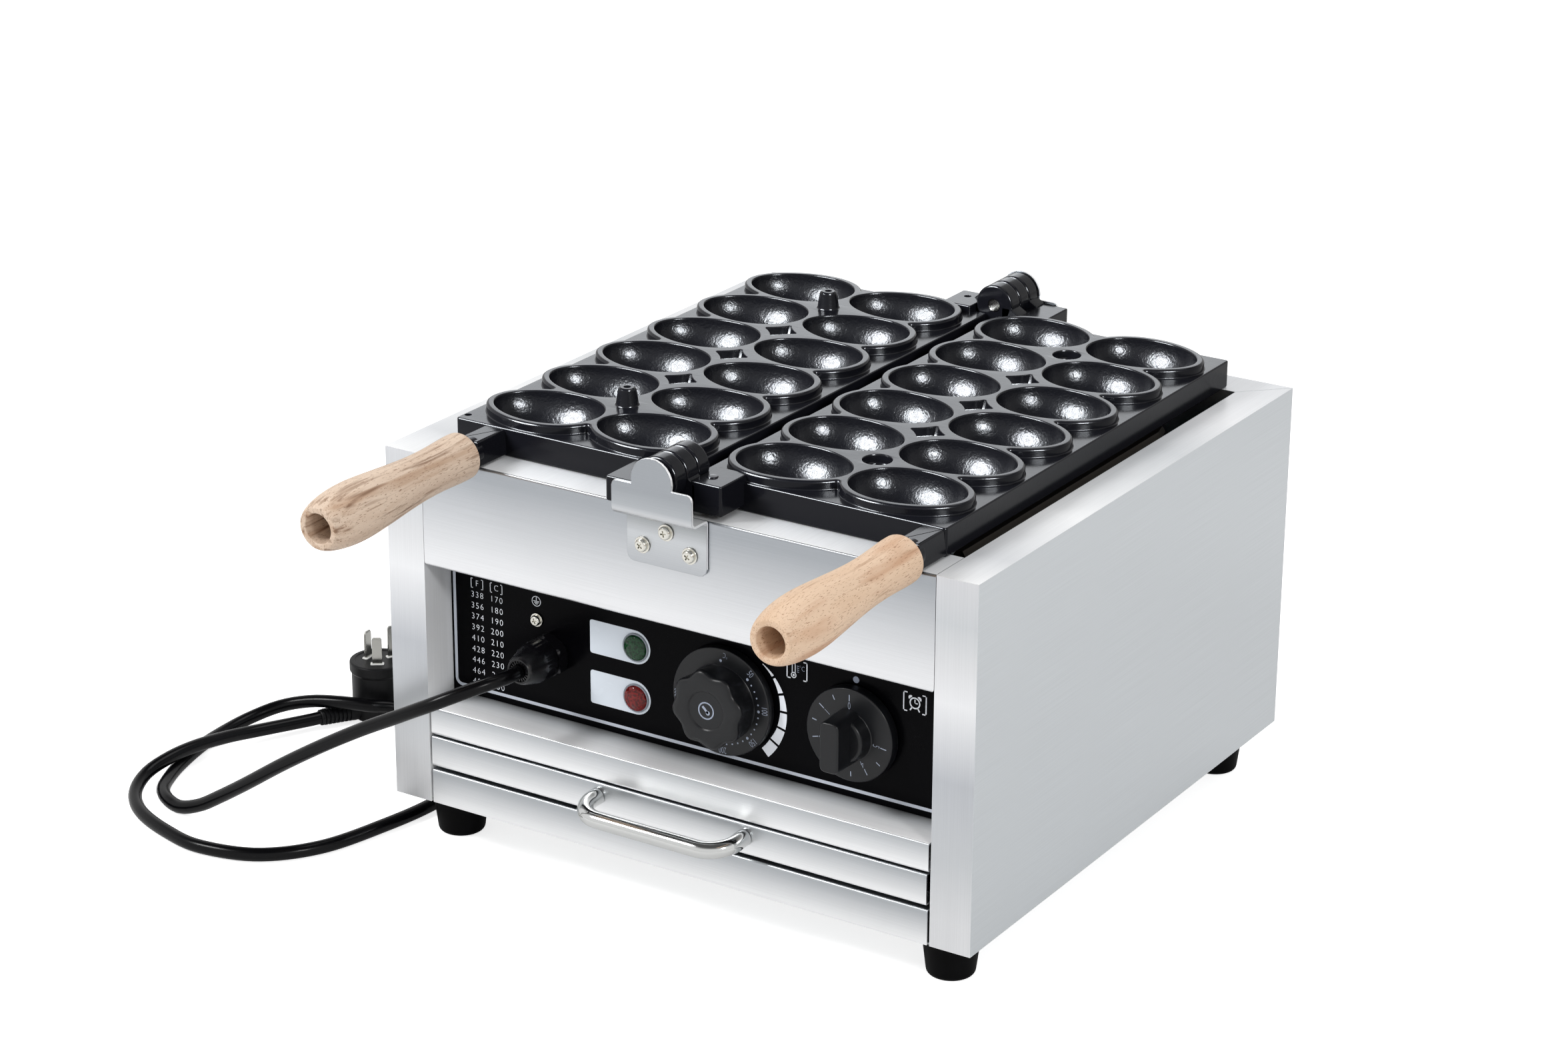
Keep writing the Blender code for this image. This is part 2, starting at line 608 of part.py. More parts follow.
def make_side(name, machine, side):
    """A double-walled side: outer skin, rim, front post and inner wall, open below, mitred at the rear."""
    outer = [(side * HALF, 0), (side * HALF, DEPTH), (side * INNER, REAR_INNER), (side * INNER, 0)]
    inset = RIM - SHEET
    mitre = SHEET * math.sqrt(2)
    inner = [(side * (HALF - SHEET), SHEET), (side * (HALF - SHEET), DEPTH - SHEET - mitre),
             (side * (HALF - inset), REAR_INNER + SHEET - mitre), (side * (HALF - inset), SHEET)]
    shift = GAP / 2 * math.sqrt(2)
    outer[1] = (outer[1][0], outer[1][1] - shift)
    outer[2] = (outer[2][0], outer[2][1] - shift)
    shell = slab(name, machine, outer, HEIGHT, HEIGHT / 2, "z")
    hollow = slab("hollow", machine, inner, HEIGHT, HEIGHT / 2 - SHEET, "z")
    relief = block("relief", machine, (side * (HALF - SHEET - GAP), SHEET + GAP, -OVERRUN),
                   (side * (INNER - OVERRUN), DEPTH, SHEET + 2 * GAP))
    return dress(cut(shell, hollow, relief), "stainless", smooth=False)


def make_rear(machine):
    shift = GAP / 2 * math.sqrt(2)
    outer = [(-HALF + shift, DEPTH), (HALF - shift, DEPTH), (INNER - shift, REAR_INNER),
             (-INNER + shift, REAR_INNER)]
    mitre = SHEET * math.sqrt(2)
    inner = [(-HALF + SHEET + mitre, DEPTH - SHEET), (HALF - SHEET - mitre, DEPTH - SHEET),
             (INNER - mitre + SHEET, REAR_INNER + SHEET), (-INNER + mitre - SHEET, REAR_INNER + SHEET)]
    shell = slab("rear_panel", machine, outer, HEIGHT, HEIGHT / 2, "z")
    hollow = slab("hollow", machine, inner, HEIGHT, HEIGHT / 2 - SHEET, "z")
    relief = block("relief", machine, (-HALF, REAR_INNER - OVERRUN, -OVERRUN),
                   (HALF, DEPTH - SHEET - GAP, SHEET + 2 * GAP))
    dress(cut(shell, hollow, relief), "stainless", smooth=False)


def make_pan(machine):
    """Floor sheet with slots for air under the drawer."""
    pan = block("bottom_pan", machine, (-HALF + SHEET + GAP * 2, SHEET + GAP * 2, 0),
                (HALF - SHEET - GAP * 2, DEPTH - SHEET - GAP * 2, SHEET))
    slots = []
    for side in (-1, 1):
        for row in range(VENT_ROWS):
            y = DEPTH / 2 + (row - (VENT_ROWS - 1) / 2) * VENT_PITCH
            slots.append(block("slot", machine, (side * HALF / 2 - VENT_LENGTH / 2, y - VENT_WIDTH / 2,
                                                 -OVERRUN),
                               (side * HALF / 2 + VENT_LENGTH / 2, y + VENT_WIDTH / 2, SHEET + OVERRUN)))
    holes = [rod("hole", machine, (x, y, -OVERRUN), SHEET + 2 * OVERRUN, SCREW_RADIUS + GAP, axis="z",
                 sides=SCREW_SIDES)
             for x, y in foot_places()]
    dress(cut(pan, *slots, *holes), "galvanised", smooth=False)


def foot_places():
    return [(x, y) for x in (-HALF + FOOT_INSET, HALF - FOOT_INSET) for y in (FOOT_INSET, DEPTH - FOOT_INSET)]


def make_feet(machine):
    names = ("foot_front_left", "foot_rear_left", "foot_front_right", "foot_rear_right")
    for name, (x, y) in zip(names, foot_places()):
        radius = FOOT_FLOOR_RADIUS
        floor = [(radius - FOOT_ROUNDING * (1 - math.cos(a)), FOOT_ROUNDING * (1 - math.sin(a)))
                 for a in np.linspace(0, math.pi / 2, 4)]
        profile = [(0, FOOT_HEIGHT - GAP), (FOOT_TOP_RADIUS, FOOT_HEIGHT - GAP)] + floor + [(0, 0)]
        foot = turned(name, machine, profile, (x, y, -FOOT_HEIGHT), sides=ROUND_SIDES)
        recess = rod("recess", machine, (x, y, -FOOT_HEIGHT - OVERRUN), FOOT_RECESS_DEPTH + OVERRUN,
                     FOOT_RECESS_RADIUS, axis="z", sides=SMALL_SIDES)
        hole = rod("hole", machine, (x, y, -FOOT_HEIGHT), FOOT_HEIGHT + OVERRUN, SCREW_RADIUS + GAP, axis="z",
                   sides=SCREW_SIDES)
        dress(cut(foot, recess, hole), "rubber")


def make_front(machine):
    """Folded sheets of the front, and the recessed control panel with its holes."""
    half = INNER - GAP
    fascia_path = [(FASCIA_LIP, HEIGHT), (0, HEIGHT), (0, FASCIA_BOTTOM), (FASCIA_RETURN, FASCIA_BOTTOM)]
    fascia = slab("front_fascia", machine, ribbon(fold(fascia_path), SHEET), 2 * half, 0, "x")
    corners = []
    for side in (-1, 1):
        foot = (side * (half - FASCIA_CORNER), FASCIA_BOTTOM + FASCIA_CORNER)
        sweep = arc(foot, FASCIA_CORNER, 270 if side > 0 else 180, 360 if side > 0 else 270, 4)
        tip = (side * (half + OVERRUN), FASCIA_BOTTOM - OVERRUN)
        if side > 0:
            outline = sweep + [(tip[0], foot[1]), tip, (foot[0], tip[1])]
        else:
            outline = sweep + [(foot[0], tip[1]), tip, (tip[0], foot[1])]
        corners.append(slab("corner", machine, outline, 2 * FASCIA_RETURN + OVERRUN, FASCIA_RETURN / 2, "y"))
    dress(cut(fascia, *corners), "stainless", smooth=False)

    rail_half = INNER - RAIL_GAP
    sill_path = [(PANEL_SETBACK + PANEL_SHEET, SILL_BACK), (0, SILL_TOP), (0, SILL_BOTTOM),
                 (RAIL_RETURN, SILL_BOTTOM)]
    sill = slab("sill_rail", machine, ribbon(fold(sill_path), SHEET), 2 * rail_half, 0, "x")
    dress(sill, "stainless", smooth=False)
    base_path = [(RAIL_RETURN, BASE_TOP), (0, BASE_TOP), (0, 0)]
    base = slab("base_rail", machine, ribbon(fold(base_path), SHEET), 2 * rail_half, 0, "x")
    dress(base, "stainless", smooth=False)

    panel = block("control_panel", machine, (-half, PANEL_SETBACK, SILL_BACK + GAP),
                  (half, PANEL_BACK, PANEL_TOP))
    holes = [rod("hole", machine, (x, PANEL_SETBACK - OVERRUN, z), PANEL_SHEET + 2 * OVERRUN, radius,
                 sides=ROUND_SIDES)
             for x, z, radius in ((KNOB_A_X, KNOB_A_Z, BUSH_RADIUS + GAP),
                                  (KNOB_B_X, KNOB_B_Z, BUSH_RADIUS + GAP),
                                  (LAMP_X, LAMP_A_Z, LAMP_BARREL + GAP),
                                  (LAMP_X, LAMP_B_Z, LAMP_BARREL + GAP),
                                  (GLAND_X, GLAND_Z, GLAND_THREAD_RADIUS + GAP),
                                  (GROUND_X, GROUND_Z, SCREW_RADIUS + GAP))]
    dress(cut(panel, *holes), "black_panel", smooth=False)


def make_inside(machine):
    """Deck over the drawer, partition behind the controls, and drawer runners."""
    half = INNER - GAP
    deck_path = [(PANEL_BACK + GAP, DECK_Z), (REAR_INNER - GAP, DECK_Z)]
    deck = slab("deck_plate", machine, ribbon(deck_path, SHEET), 2 * half, 0, "x")
    dress(deck, "galvanised", smooth=False)
    wall_path = [(PARTITION_Y - RAIL_RETURN, DECK_Z + SHEET + GAP), (PARTITION_Y, DECK_Z + SHEET + GAP),
                 (PARTITION_Y, PARTITION_TOP), (PARTITION_Y - RAIL_RETURN, PARTITION_TOP)]
    wall = slab("heat_partition", machine, ribbon(fold(wall_path), SHEET), 2 * half, 0, "x")
    dress(wall, "galvanised", smooth=False)
    for name, side in (("drawer_runner_left", -1), ("drawer_runner_right", 1)):
        edge = TRAY_HALF + RUN_GAP
        ledge_z = TRAY_BOTTOM - GAP - RUNNER_SHEET
        path = [(side * (edge - RUNNER_LEDGE), ledge_z), (side * half, ledge_z), (side * half, DECK_Z - GAP)]
        if side < 0:
            path = path[::-1]
        outline = ribbon(fold(path), RUNNER_SHEET)
        runner = slab(name, machine, outline, REAR_INNER - RAIL_RETURN - 2 * GAP,
                      (REAR_INNER + RAIL_RETURN) / 2, "y")
        dress(runner, "galvanised", smooth=False)


def heater_legs():
    """Where the heater's long legs run, from the middle."""
    return list(np.linspace(HEATER_SIDE, INNER - HEATER_SIDE, HEATER_LEGS))


def make_heaters(machine):
    rear = REAR_INNER - HEATER_REAR
    front = PARTITION_Y + HEATER_REAR
    legs = heater_legs()
    for name, side in (("heating_element_left", -1), ("heating_element_right", 1)):
        way = [(legs[0], PARTITION_Y - RAIL_RETURN)]
        for i, (a, b) in enumerate(zip(legs, legs[1:])):
            bend = (b - a) / 2
            if i % 2 == 0:
                way += arc(((a + b) / 2, rear - bend), bend, 180, 0, 6)
            else:
                way += arc(((a + b) / 2, front + bend), bend, 180, 360, 6)
        way.append((legs[-1], PARTITION_Y - RAIL_RETURN))
        element = tube(name, machine, [(side * x, y, HEATER_Z) for x, y in way], HEATER_RADIUS, 1)
        dress(element, "heater")
    top = HEATER_Z - HEATER_RADIUS - GAP
    half = SUPPORT_WIDTH / 2
    bars = []
    for i in range(SUPPORT_COUNT):
        y = front + (rear - front) * (i + 1) / (SUPPORT_COUNT + 1)
        path = [(y + half, top - SUPPORT_HEIGHT), (y + half, top), (y - half, top),
                (y - half, top - SUPPORT_HEIGHT)]
        bars.append(slab("element_rack", machine, ribbon(path, SUPPORT_SHEET),
                         2 * (INNER - GAP - SUPPORT_SHEET / 2),
                         0, "x"))
    for side in (-1, 1):
        edge, lip = side * (INNER - GAP), side * (INNER - GAP - SUPPORT_SHEET)
        bars.append(block("rail", machine, (min(edge, lip), front, top - SUPPORT_HEIGHT - SUPPORT_SHEET),
                          (max(edge, lip), rear, top - SUPPORT_SHEET / 2)))
    dress(join(*bars), "galvanised", smooth=False)


def make_bracket(machine, name, face, out):
    """A bent bracket on the housing's face: screwed tab, shelf, and upright with a round top."""
    inner = face + out * GAP
    reach = face + out * (BRACKET_REACH - BRACKET_SHEET)
    low = HEIGHT - BRACKET_TAB_DROP
    top = AXIS_Z + BRACKET_DOME
    shelf = HEIGHT + BRACKET_SHEET / 2
    path = [(inner, low - OVERRUN), (inner, shelf), (reach, shelf), (reach, top + OVERRUN)]
    if out > 0:
        path = path[::-1]
    sheet = slab(name, machine, ribbon(fold(path, BRACKET_BEND), BRACKET_SHEET),
                 2 * (BRACKET_HALF + OVERRUN), 0, "x")
    shoulder = AXIS_Z - BRACKET_SHOULDER
    spread = math.degrees(math.asin(BRACKET_SHOULDER / BRACKET_DOME))
    side = BRACKET_HALF - BRACKET_CORNER
    foot = BRACKET_HALF - BRACKET_TAB_CORNER
    blank = (arc((0, AXIS_Z), BRACKET_DOME, -spread, 180 + spread, 14)
             + arc((-side, shoulder - BRACKET_CORNER), BRACKET_CORNER, 90, 180, 3)
             + arc((-foot, low + BRACKET_TAB_CORNER), BRACKET_TAB_CORNER, 180, 270, 3)
             + arc((foot, low + BRACKET_TAB_CORNER), BRACKET_TAB_CORNER, 270, 360, 3)
             + arc((side, shoulder - BRACKET_CORNER), BRACKET_CORNER, 0, 90, 3))
    depth = BRACKET_REACH + 2 * OVERRUN
    blank = slab("blank", machine, blank, depth, face + out * BRACKET_REACH / 2, "y")
    bracket = combine(sheet, [blank], "INTERSECT")
    screws = [(-BRACKET_SCREW_OUT, HEIGHT - BRACKET_SCREW_LOW), (BRACKET_SCREW_OUT,
                                                                 HEIGHT - BRACKET_SCREW_LOW),
              (0, HEIGHT - BRACKET_SCREW_HIGH)]
    holes = [rod("hole", machine, (x, inner - out * OVERRUN, z), out * (BRACKET_SHEET + 2 * OVERRUN),
                 SCREW_RADIUS + GAP, sides=SCREW_SIDES) for x, z in screws]
    dress(cut(bracket, *holes), "stainless", smooth=False)
    label = name.replace("hinge_bracket", "bracket_screw")
    for place, (x, z) in zip(("left", "right", "top"), screws):
        seat = inner + out * (BRACKET_SHEET + GAP)
        washer = rod(f"{label}_{place}", machine, (x, seat, z), out * WASHER_SHEET, WASHER_RADIUS,
                     sides=SMALL_SIDES)
        crown = rod("crown", machine, (x, seat + out * WASHER_SHEET / 2, z), out * SCREW_HEAD_HEIGHT,
                    SCREW_HEAD_RADIUS, SCREW_HEAD_RADIUS * CROWN_SHARE, sides=SMALL_SIDES)
        shank = rod("shank", machine, (x, inner + out * GAP, z), out * (BRACKET_SHEET + GAP), SCREW_RADIUS,
                    sides=SCREW_SIDES)
        dress(join(washer, crown, shank), "zinc")


def knuckle_places():
    """Start of each knuckle along the axis, its plate's side, front set then rear set."""
    step = KNUCKLE_LENGTH + KNUCKLE_GAP
    front = PLATE_FRONT - KNUCKLE_GAP - KNUCKLE_LENGTH
    rear = PLATE_REAR + KNUCKLE_GAP
    places = [(front, -1), (front - step, 1), (front - 2 * step, -1)]
    return places + [(rear, 1), (rear + step, -1), (rear + 2 * step, 1)]


def make_pins(machine):
    places = [y for y, side in knuckle_places()]
    ends = (("pivot_pin_front", -1, -BRACKET_REACH + BRACKET_SHEET, places[2], places[0] + KNUCKLE_LENGTH),
            ("pivot_pin_rear", 1, DEPTH + BRACKET_REACH - BRACKET_SHEET, places[5] + KNUCKLE_LENGTH,
             places[3]))
    for name, out, seat, outer_face, far_end in ends:
        start = seat - out * GAP
        pin = rod(name, machine, (0, start, AXIS_Z), far_end - start, PIN_RADIUS, sides=KNUCKLE_SIDES)
        collar_end = outer_face + out * KNUCKLE_GAP
        if abs(collar_end - start) > KNUCKLE_GAP:
            collar = rod("collar", machine, (0, start, AXIS_Z), collar_end - start, PIN_HEAD_RADIUS,
                         sides=SMALL_SIDES)
            pin = join(pin, collar)
        dress(pin, "zinc")


def egg_solid(name, parent, side, centre, grow, lift, sides):
    """The lower half of an egg shape, closed off flat at a height above or below its widest plane."""
    work = bmesh.new()
    bmesh.ops.create_uvsphere(work, u_segments=sides, v_segments=EGG_RINGS, radius=1)
    for vert in work.verts:
        x, y, z = vert.co
        y *= 1 - EGG_BLUNT_SHARE * x
        height = (EGG_DEPTH + grow) * z
        vert.co = (side * (EGG_LENGTH / 2 + grow) * x, (EGG_WIDTH / 2 + grow) * y,
                   lift if z > -WELD else min(height, lift))
    bmesh.ops.remove_doubles(work, verts=work.verts, dist=WELD)
    flat = [face for face in work.faces if all(abs(v.co.z - lift) < WELD for v in face.verts)]
    bmesh.ops.dissolve_faces(work, faces=flat)
    return mesh_object(name, work, parent, centre)


def egg_point(centre, angle):
    """A point on the land's outline round one cavity."""
    a, b = EGG_LENGTH / 2 + LAND_WIDTH, EGG_WIDTH / 2 + LAND_WIDTH
    x = math.cos(angle)
    return (centre[0] + a * x, centre[1] + b * math.sin(angle) * (1 - EGG_BLUNT_SHARE * x))


def outside_egg(centre, point):
    a, b = EGG_LENGTH / 2 + LAND_WIDTH, EGG_WIDTH / 2 + LAND_WIDTH
    x = (point[0] - centre[0]) / a
    y = (point[1] - centre[1]) / (b * (1 - EGG_BLUNT_SHARE * x))
    return x * x + y * y > 1


def meeting_angle(centre, other, clear, inside):
    """The angle on one egg's outline where it enters the other egg, between a clear and an inside angle."""
    for _ in range(30):
        middle = (clear + inside) / 2
        if outside_egg(other, egg_point(centre, middle)):
            clear = middle
        else:
            inside = middle
    return clear


def row_places():
    return [PLATE_MID + (i - (CAVITY_ROWS - 1) / 2) * ROW_PITCH for i in range(CAVITY_ROWS)]


def land_outline():
    """The raised land: the outline of all twelve eggs, with rounded notches where they meet."""
    rows = row_places()
    eggs = [(COLUMN_OUTER, y) for y in rows] + [(COLUMN_INNER, y) for y in reversed(rows)]
    # Each egg is entered and left at an angle, going round the plate with the land on the left.
    middle_angles = [0.0] * CAVITY_ROWS + [math.pi] * CAVITY_ROWS
    trim = NOTCH_TRIM / (EGG_LENGTH / 2)
    spans = []
    for i, (centre, mid) in enumerate(zip(eggs, middle_angles)):
        before, after = eggs[i - 1], eggs[(i + 1) % len(eggs)]
        enter_end = mid - math.pi / 2 if before[0] == centre[0] else mid - math.pi
        leave_end = mid + math.pi / 2 if after[0] == centre[0] else mid + math.pi
        enter = meeting_angle(centre, before, mid, enter_end)
        leave = meeting_angle(centre, after, mid, leave_end)
        spans.append((centre, enter, leave))
    outline = []
    for i, (centre, enter, leave) in enumerate(spans):
        steps = max(4, round((leave - enter) / math.radians(360 / EGG_SIDES)))
        outline += [egg_point(centre, a) for a in np.linspace(enter + trim, leave - trim, steps)]
        following = spans[(i + 1) % len(spans)]
        start, knee = Vector(egg_point(centre, leave - trim)), Vector(egg_point(centre, leave))
        end = Vector(egg_point(following[0], following[1] + trim))
        for t in (1 / 3, 2 / 3):
            outline.append(tuple((1 - t) ** 2 * start + 2 * t * (1 - t) * knee + t * t * end))
    return outline


def make_plate(machine, name, side):
    """A cast plate about the pivot axis, with land, cavities, lugs, knuckles and handle boss."""
    hinge = empty(name + "_hinge", machine, (0, 0, AXIS_Z))
    bottom = PLATE_BOTTOM - AXIS_Z
    top = SLAB_TOP - AXIS_Z
    land_top = MEETING_Z - AXIS_Z

    def span(x0, x1):
        return tuple(sorted((side * x0, side * x1)))

    x0, x1 = span(PLATE_INNER, PLATE_OUTER)
    plate = block(name, hinge, (x0, PLATE_FRONT, bottom), (x1, PLATE_REAR, top))
    plate = soften(plate, EDGE)
    x0, x1 = span(PLATE_INNER + SKIN, PLATE_OUTER - SKIN)
    under = block("under", hinge, (x0, PLATE_FRONT + SKIN, bottom - OVERRUN),
                  (x1, PLATE_REAR - SKIN, top - SKIN))
    plate = cut(plate, under)

    outline = [(side * x, y) for x, y in land_outline()]
    land = slab("land", hinge, outline, LAND_HEIGHT + SKIN / 2, land_top - (LAND_HEIGHT + SKIN / 2) / 2, "z")
    centres = [(side * x, y) for x in (COLUMN_INNER, COLUMN_OUTER) for y in row_places()]
    domes = [egg_solid("dome", hinge, side, (x, y, land_top), EGG_WALL, -LAND_HEIGHT / 2, SHELL_SIDES)
             for x, y in centres]
    plate = join(plate, land, *domes)

    rows = row_places()
    pair_x = side * (COLUMN_INNER + COLUMN_OUTER) / 2
    gaps = [(a + b) / 2 for a, b in zip(rows, rows[1:])]
    added, removed = [], []
    for y in (gaps[0], gaps[-1]):
        if side < 0:
            added.append(rod("peg", hinge, (pair_x, y, land_top - LAND_HEIGHT), PEG_HEIGHT + LAND_HEIGHT,
                             PEG_BASE_RADIUS, PEG_TIP_RADIUS, sides=SMALL_SIDES, axis="z"))
        else:
            added.append(rod("cup", hinge, (pair_x, y, land_top - HOLE_DEPTH - HOLE_WALL),
                             HOLE_DEPTH + HOLE_WALL - LAND_HEIGHT / 2, HOLE_RADIUS + HOLE_WALL,
                             sides=SMALL_SIDES, axis="z"))
            depth = HOLE_DEPTH + OVERRUN
            flare = HOLE_RADIUS + (HOLE_RADIUS - HOLE_FLOOR_RADIUS) * OVERRUN / HOLE_DEPTH
            removed.append(rod("hole", hinge, (pair_x, y, land_top - HOLE_DEPTH), depth, HOLE_FLOOR_RADIUS,
                               flare,
                               sides=SMALL_SIDES, axis="z"))
    for y in gaps[1:-1]:
        grow = (POCKET_HALF - POCKET_FLOOR_HALF) * OVERRUN / POCKET_DEPTH
        removed.append(rod("pocket", hinge, (pair_x, y, land_top - POCKET_DEPTH), POCKET_DEPTH + OVERRUN,
                           POCKET_FLOOR_HALF, POCKET_HALF + grow, sides=4, axis="z"))

    low = HEIGHT + LUG_LIFT - AXIS_Z
    outer_top = land_top - LUG_LOW_TOP
    knuckles = knuckle_places()
    mine = [y for y, owner in knuckles if owner == side]
    reach_front = min(mine[0:1] + [y for y in mine if y < PLATE_MID])
    reach_rear = max([y for y in mine if y > PLATE_MID]) + KNUCKLE_LENGTH
    x0, x1 = span(LUG_INNER, LUG_OUTER)
    for near, far, outer in ((reach_front, PLATE_FRONT + SKIN, side < 0),
                             (PLATE_REAR - SKIN, reach_rear, side > 0)):
        height = outer_top if outer else land_top - LUG_PAD_DROP
        lug = block("lug", hinge, (x0, near, low), (x1, far, height))
        added.append(soften(lug, EDGE))
    for y in mine:
        added.append(rod("knuckle", hinge, (0, y, 0), KNUCKLE_LENGTH, KNUCKLE_RADIUS, sides=KNUCKLE_SIDES))
        a, b = span(PIN_RADIUS, LUG_INNER + SKIN)
        added.append(block("web", hinge, (a, y, -WEB_HALF_HEIGHT), (b, y + KNUCKLE_LENGTH, -EDGE)))
    bore_start = min(mine) - OVERRUN
    removed.append(rod("bore", hinge, (0, bore_start, 0), max(mine) + KNUCKLE_LENGTH + OVERRUN - bore_start,
                       PIN_RADIUS + PIN_CLEARANCE, sides=KNUCKLE_SIDES))

    boss_x = BOSS_RIGHT if side > 0 else -BOSS_LEFT
    boss_high = top - EDGE
    foot = (BOSS_HALF, boss_high, BOSS_HALF - BOSS_TAPER)
    boss_outline = [(boss_x - foot[0], bottom + EDGE), (boss_x + foot[0], bottom + EDGE),
                    (boss_x + foot[2], foot[1]),
                    (boss_x - foot[2], foot[1])]
    length = BOSS_FRONT + PLATE_FRONT + SKIN / 2
    boss = slab("boss", hinge, boss_outline, length, length / 2 - BOSS_FRONT, "y")
    added.append(soften(boss, EDGE))
    plate = join(plate, *added)

    bowls = [egg_solid("bowl", hinge, side, (x, y, land_top), 0, OVERRUN, EGG_SIDES) for x, y in centres]
    plate = cut(plate, *bowls, *removed)
    stud = rod("stud", handle_frame(machine, side), (0, -OVERRUN, 0), BOLT_GRASP + 2 * OVERRUN,
               BOLT_RADIUS + GAP,
               sides=SCREW_SIDES)
    plate = cut(plate, stud)
    dress(plate, "black_coating")


def handle_frame(machine, side):
    """An empty at the boss face, with its -Y along the handle."""
    label = "handle_axis_left" if side < 0 else "handle_axis_right"
    made = bpy.data.objects.get(label)
    if made is None:
        x = BOSS_RIGHT if side > 0 else -BOSS_LEFT
        carrier = bpy.data.objects["plate_left_hinge" if side < 0 else "plate_right_hinge"]
        made = empty(label, carrier, (x, -BOSS_FRONT, HANDLE_Z - AXIS_Z), (HANDLE_DROOP, 0, 0))
    return made


def make_handle(machine, side):
    """Turned beech grip on a bolt that clamps it against a nut on the boss."""
    label = "left" if side < 0 else "right"
    frame = handle_frame(machine, side)
    lie = (math.pi / 2, 0, 0)           # turns +Z to -Y, out along the handle
    nut = rod("handle_nut_" + label, frame, (0, -GAP, 0), -LOCKNUT_LENGTH, LOCKNUT_HALF, sides=6)
    hole = rod("hole", frame, (0, OVERRUN, 0), -(LOCKNUT_LENGTH + 2 * OVERRUN), BOLT_RADIUS + GAP,
               sides=SCREW_SIDES)
    dress(cut(nut, hole), "chrome")

    start = LOCKNUT_LENGTH + 2 * GAP
    end = start + GRIP_LENGTH
    floor = end - GRIP_BORE_DEPTH
    profile = []
    for shares, near, far in ((GRIP_NOSE_SHARES, GRIP_END_RADIUS, GRIP_BULGE_RADIUS),
                              (GRIP_SWELL_SHARES, GRIP_WAIST_RADIUS, GRIP_BULGE_RADIUS),
                              (GRIP_FLARE_SHARES, GRIP_WAIST_RADIUS, GRIP_COLLAR_RADIUS)):
        profile += [(near + (far - near) * mix, start + GRIP_LENGTH * along) for along, mix in shares]
    profile.append((GRIP_COLLAR_RADIUS - EDGE, start))
    bore = BOLT_RADIUS + GAP
    profile += [(bore, start), (bore, floor), (GRIP_BORE_RADIUS, floor), (GRIP_BORE_RADIUS, end)]
    dress(turned("handle_grip_" + label, frame, profile, (0, 0, 0), lie, sides=ROUND_SIDES, closed=True),
          "beech")

    head_start = floor + GAP
    head = rod("handle_bolt_" + label, frame, (0, -head_start, 0), -BOLT_HEAD_LENGTH, BOLT_HEAD_HALF, sides=6)
    shank = rod("shank", frame, (0, BOLT_GRASP, 0), -(BOLT_GRASP + head_start + BOLT_HEAD_LENGTH / 2),
                BOLT_RADIUS,
                sides=SCREW_SIDES)
    dress(join(head, shank), "zinc")


def make_drawer(machine):
    """Crumb tray with folded rims, its front and the bent pull."""
    slide = empty("drawer_slide", machine, (0, 0, 0))
    left = -INNER + RAIL_GAP
    right = INNER - DRAWER_SIDE_GAP
    path = [(RAIL_RETURN, DRAWER_TOP), (0, DRAWER_TOP), (0, DRAWER_BOTTOM), (RAIL_RETURN, DRAWER_BOTTOM)]
    front = slab("drawer_front", slide, ribbon(fold(path), SHEET), right - left, (left + right) / 2, "x")
    holes = [rod("hole", slide, (x, -OVERRUN, PULL_Z), SHEET + 2 * OVERRUN, SCREW_RADIUS + GAP,
                 sides=SCREW_SIDES)
             for x in (-PULL_HALF, PULL_HALF)]
    dress(cut(front, *holes), "stainless", smooth=False)

    start = SHEET + SCREW_HEAD_HEIGHT + 2 * GAP
    tray = block("drawer_tray", slide, (-TRAY_HALF, start, TRAY_BOTTOM),
                 (TRAY_HALF, start + TRAY_LENGTH, TRAY_TOP))
    hollow = block("hollow", slide, (-TRAY_HALF + TRAY_SHEET, start + TRAY_SHEET, TRAY_BOTTOM + TRAY_SHEET),
                   (TRAY_HALF - TRAY_SHEET, start + TRAY_LENGTH - TRAY_SHEET, TRAY_TOP + OVERRUN))
    dress(cut(tray, hollow), "stainless", smooth=False)

    bend = PULL_BEND
    reach = PULL_REACH - PULL_RADIUS
    half = PULL_HALF
    flat = ([(-half, -GAP), (-half, -PULL_RADIUS)] + arc((-half + bend, -reach + bend), bend, 180, 270, 5)
            + arc((half - bend, -reach + bend), bend, 270, 360, 5) + [(half, -PULL_RADIUS), (half, -GAP)])
    way = [(x, y, PULL_Z - PULL_TILT * max(0, -y - PULL_RADIUS) / (reach - PULL_RADIUS)) for x, y in flat]
    pull = tube("drawer_handle", slide, way, PULL_RADIUS, 2)
    dress(pull, "chrome")


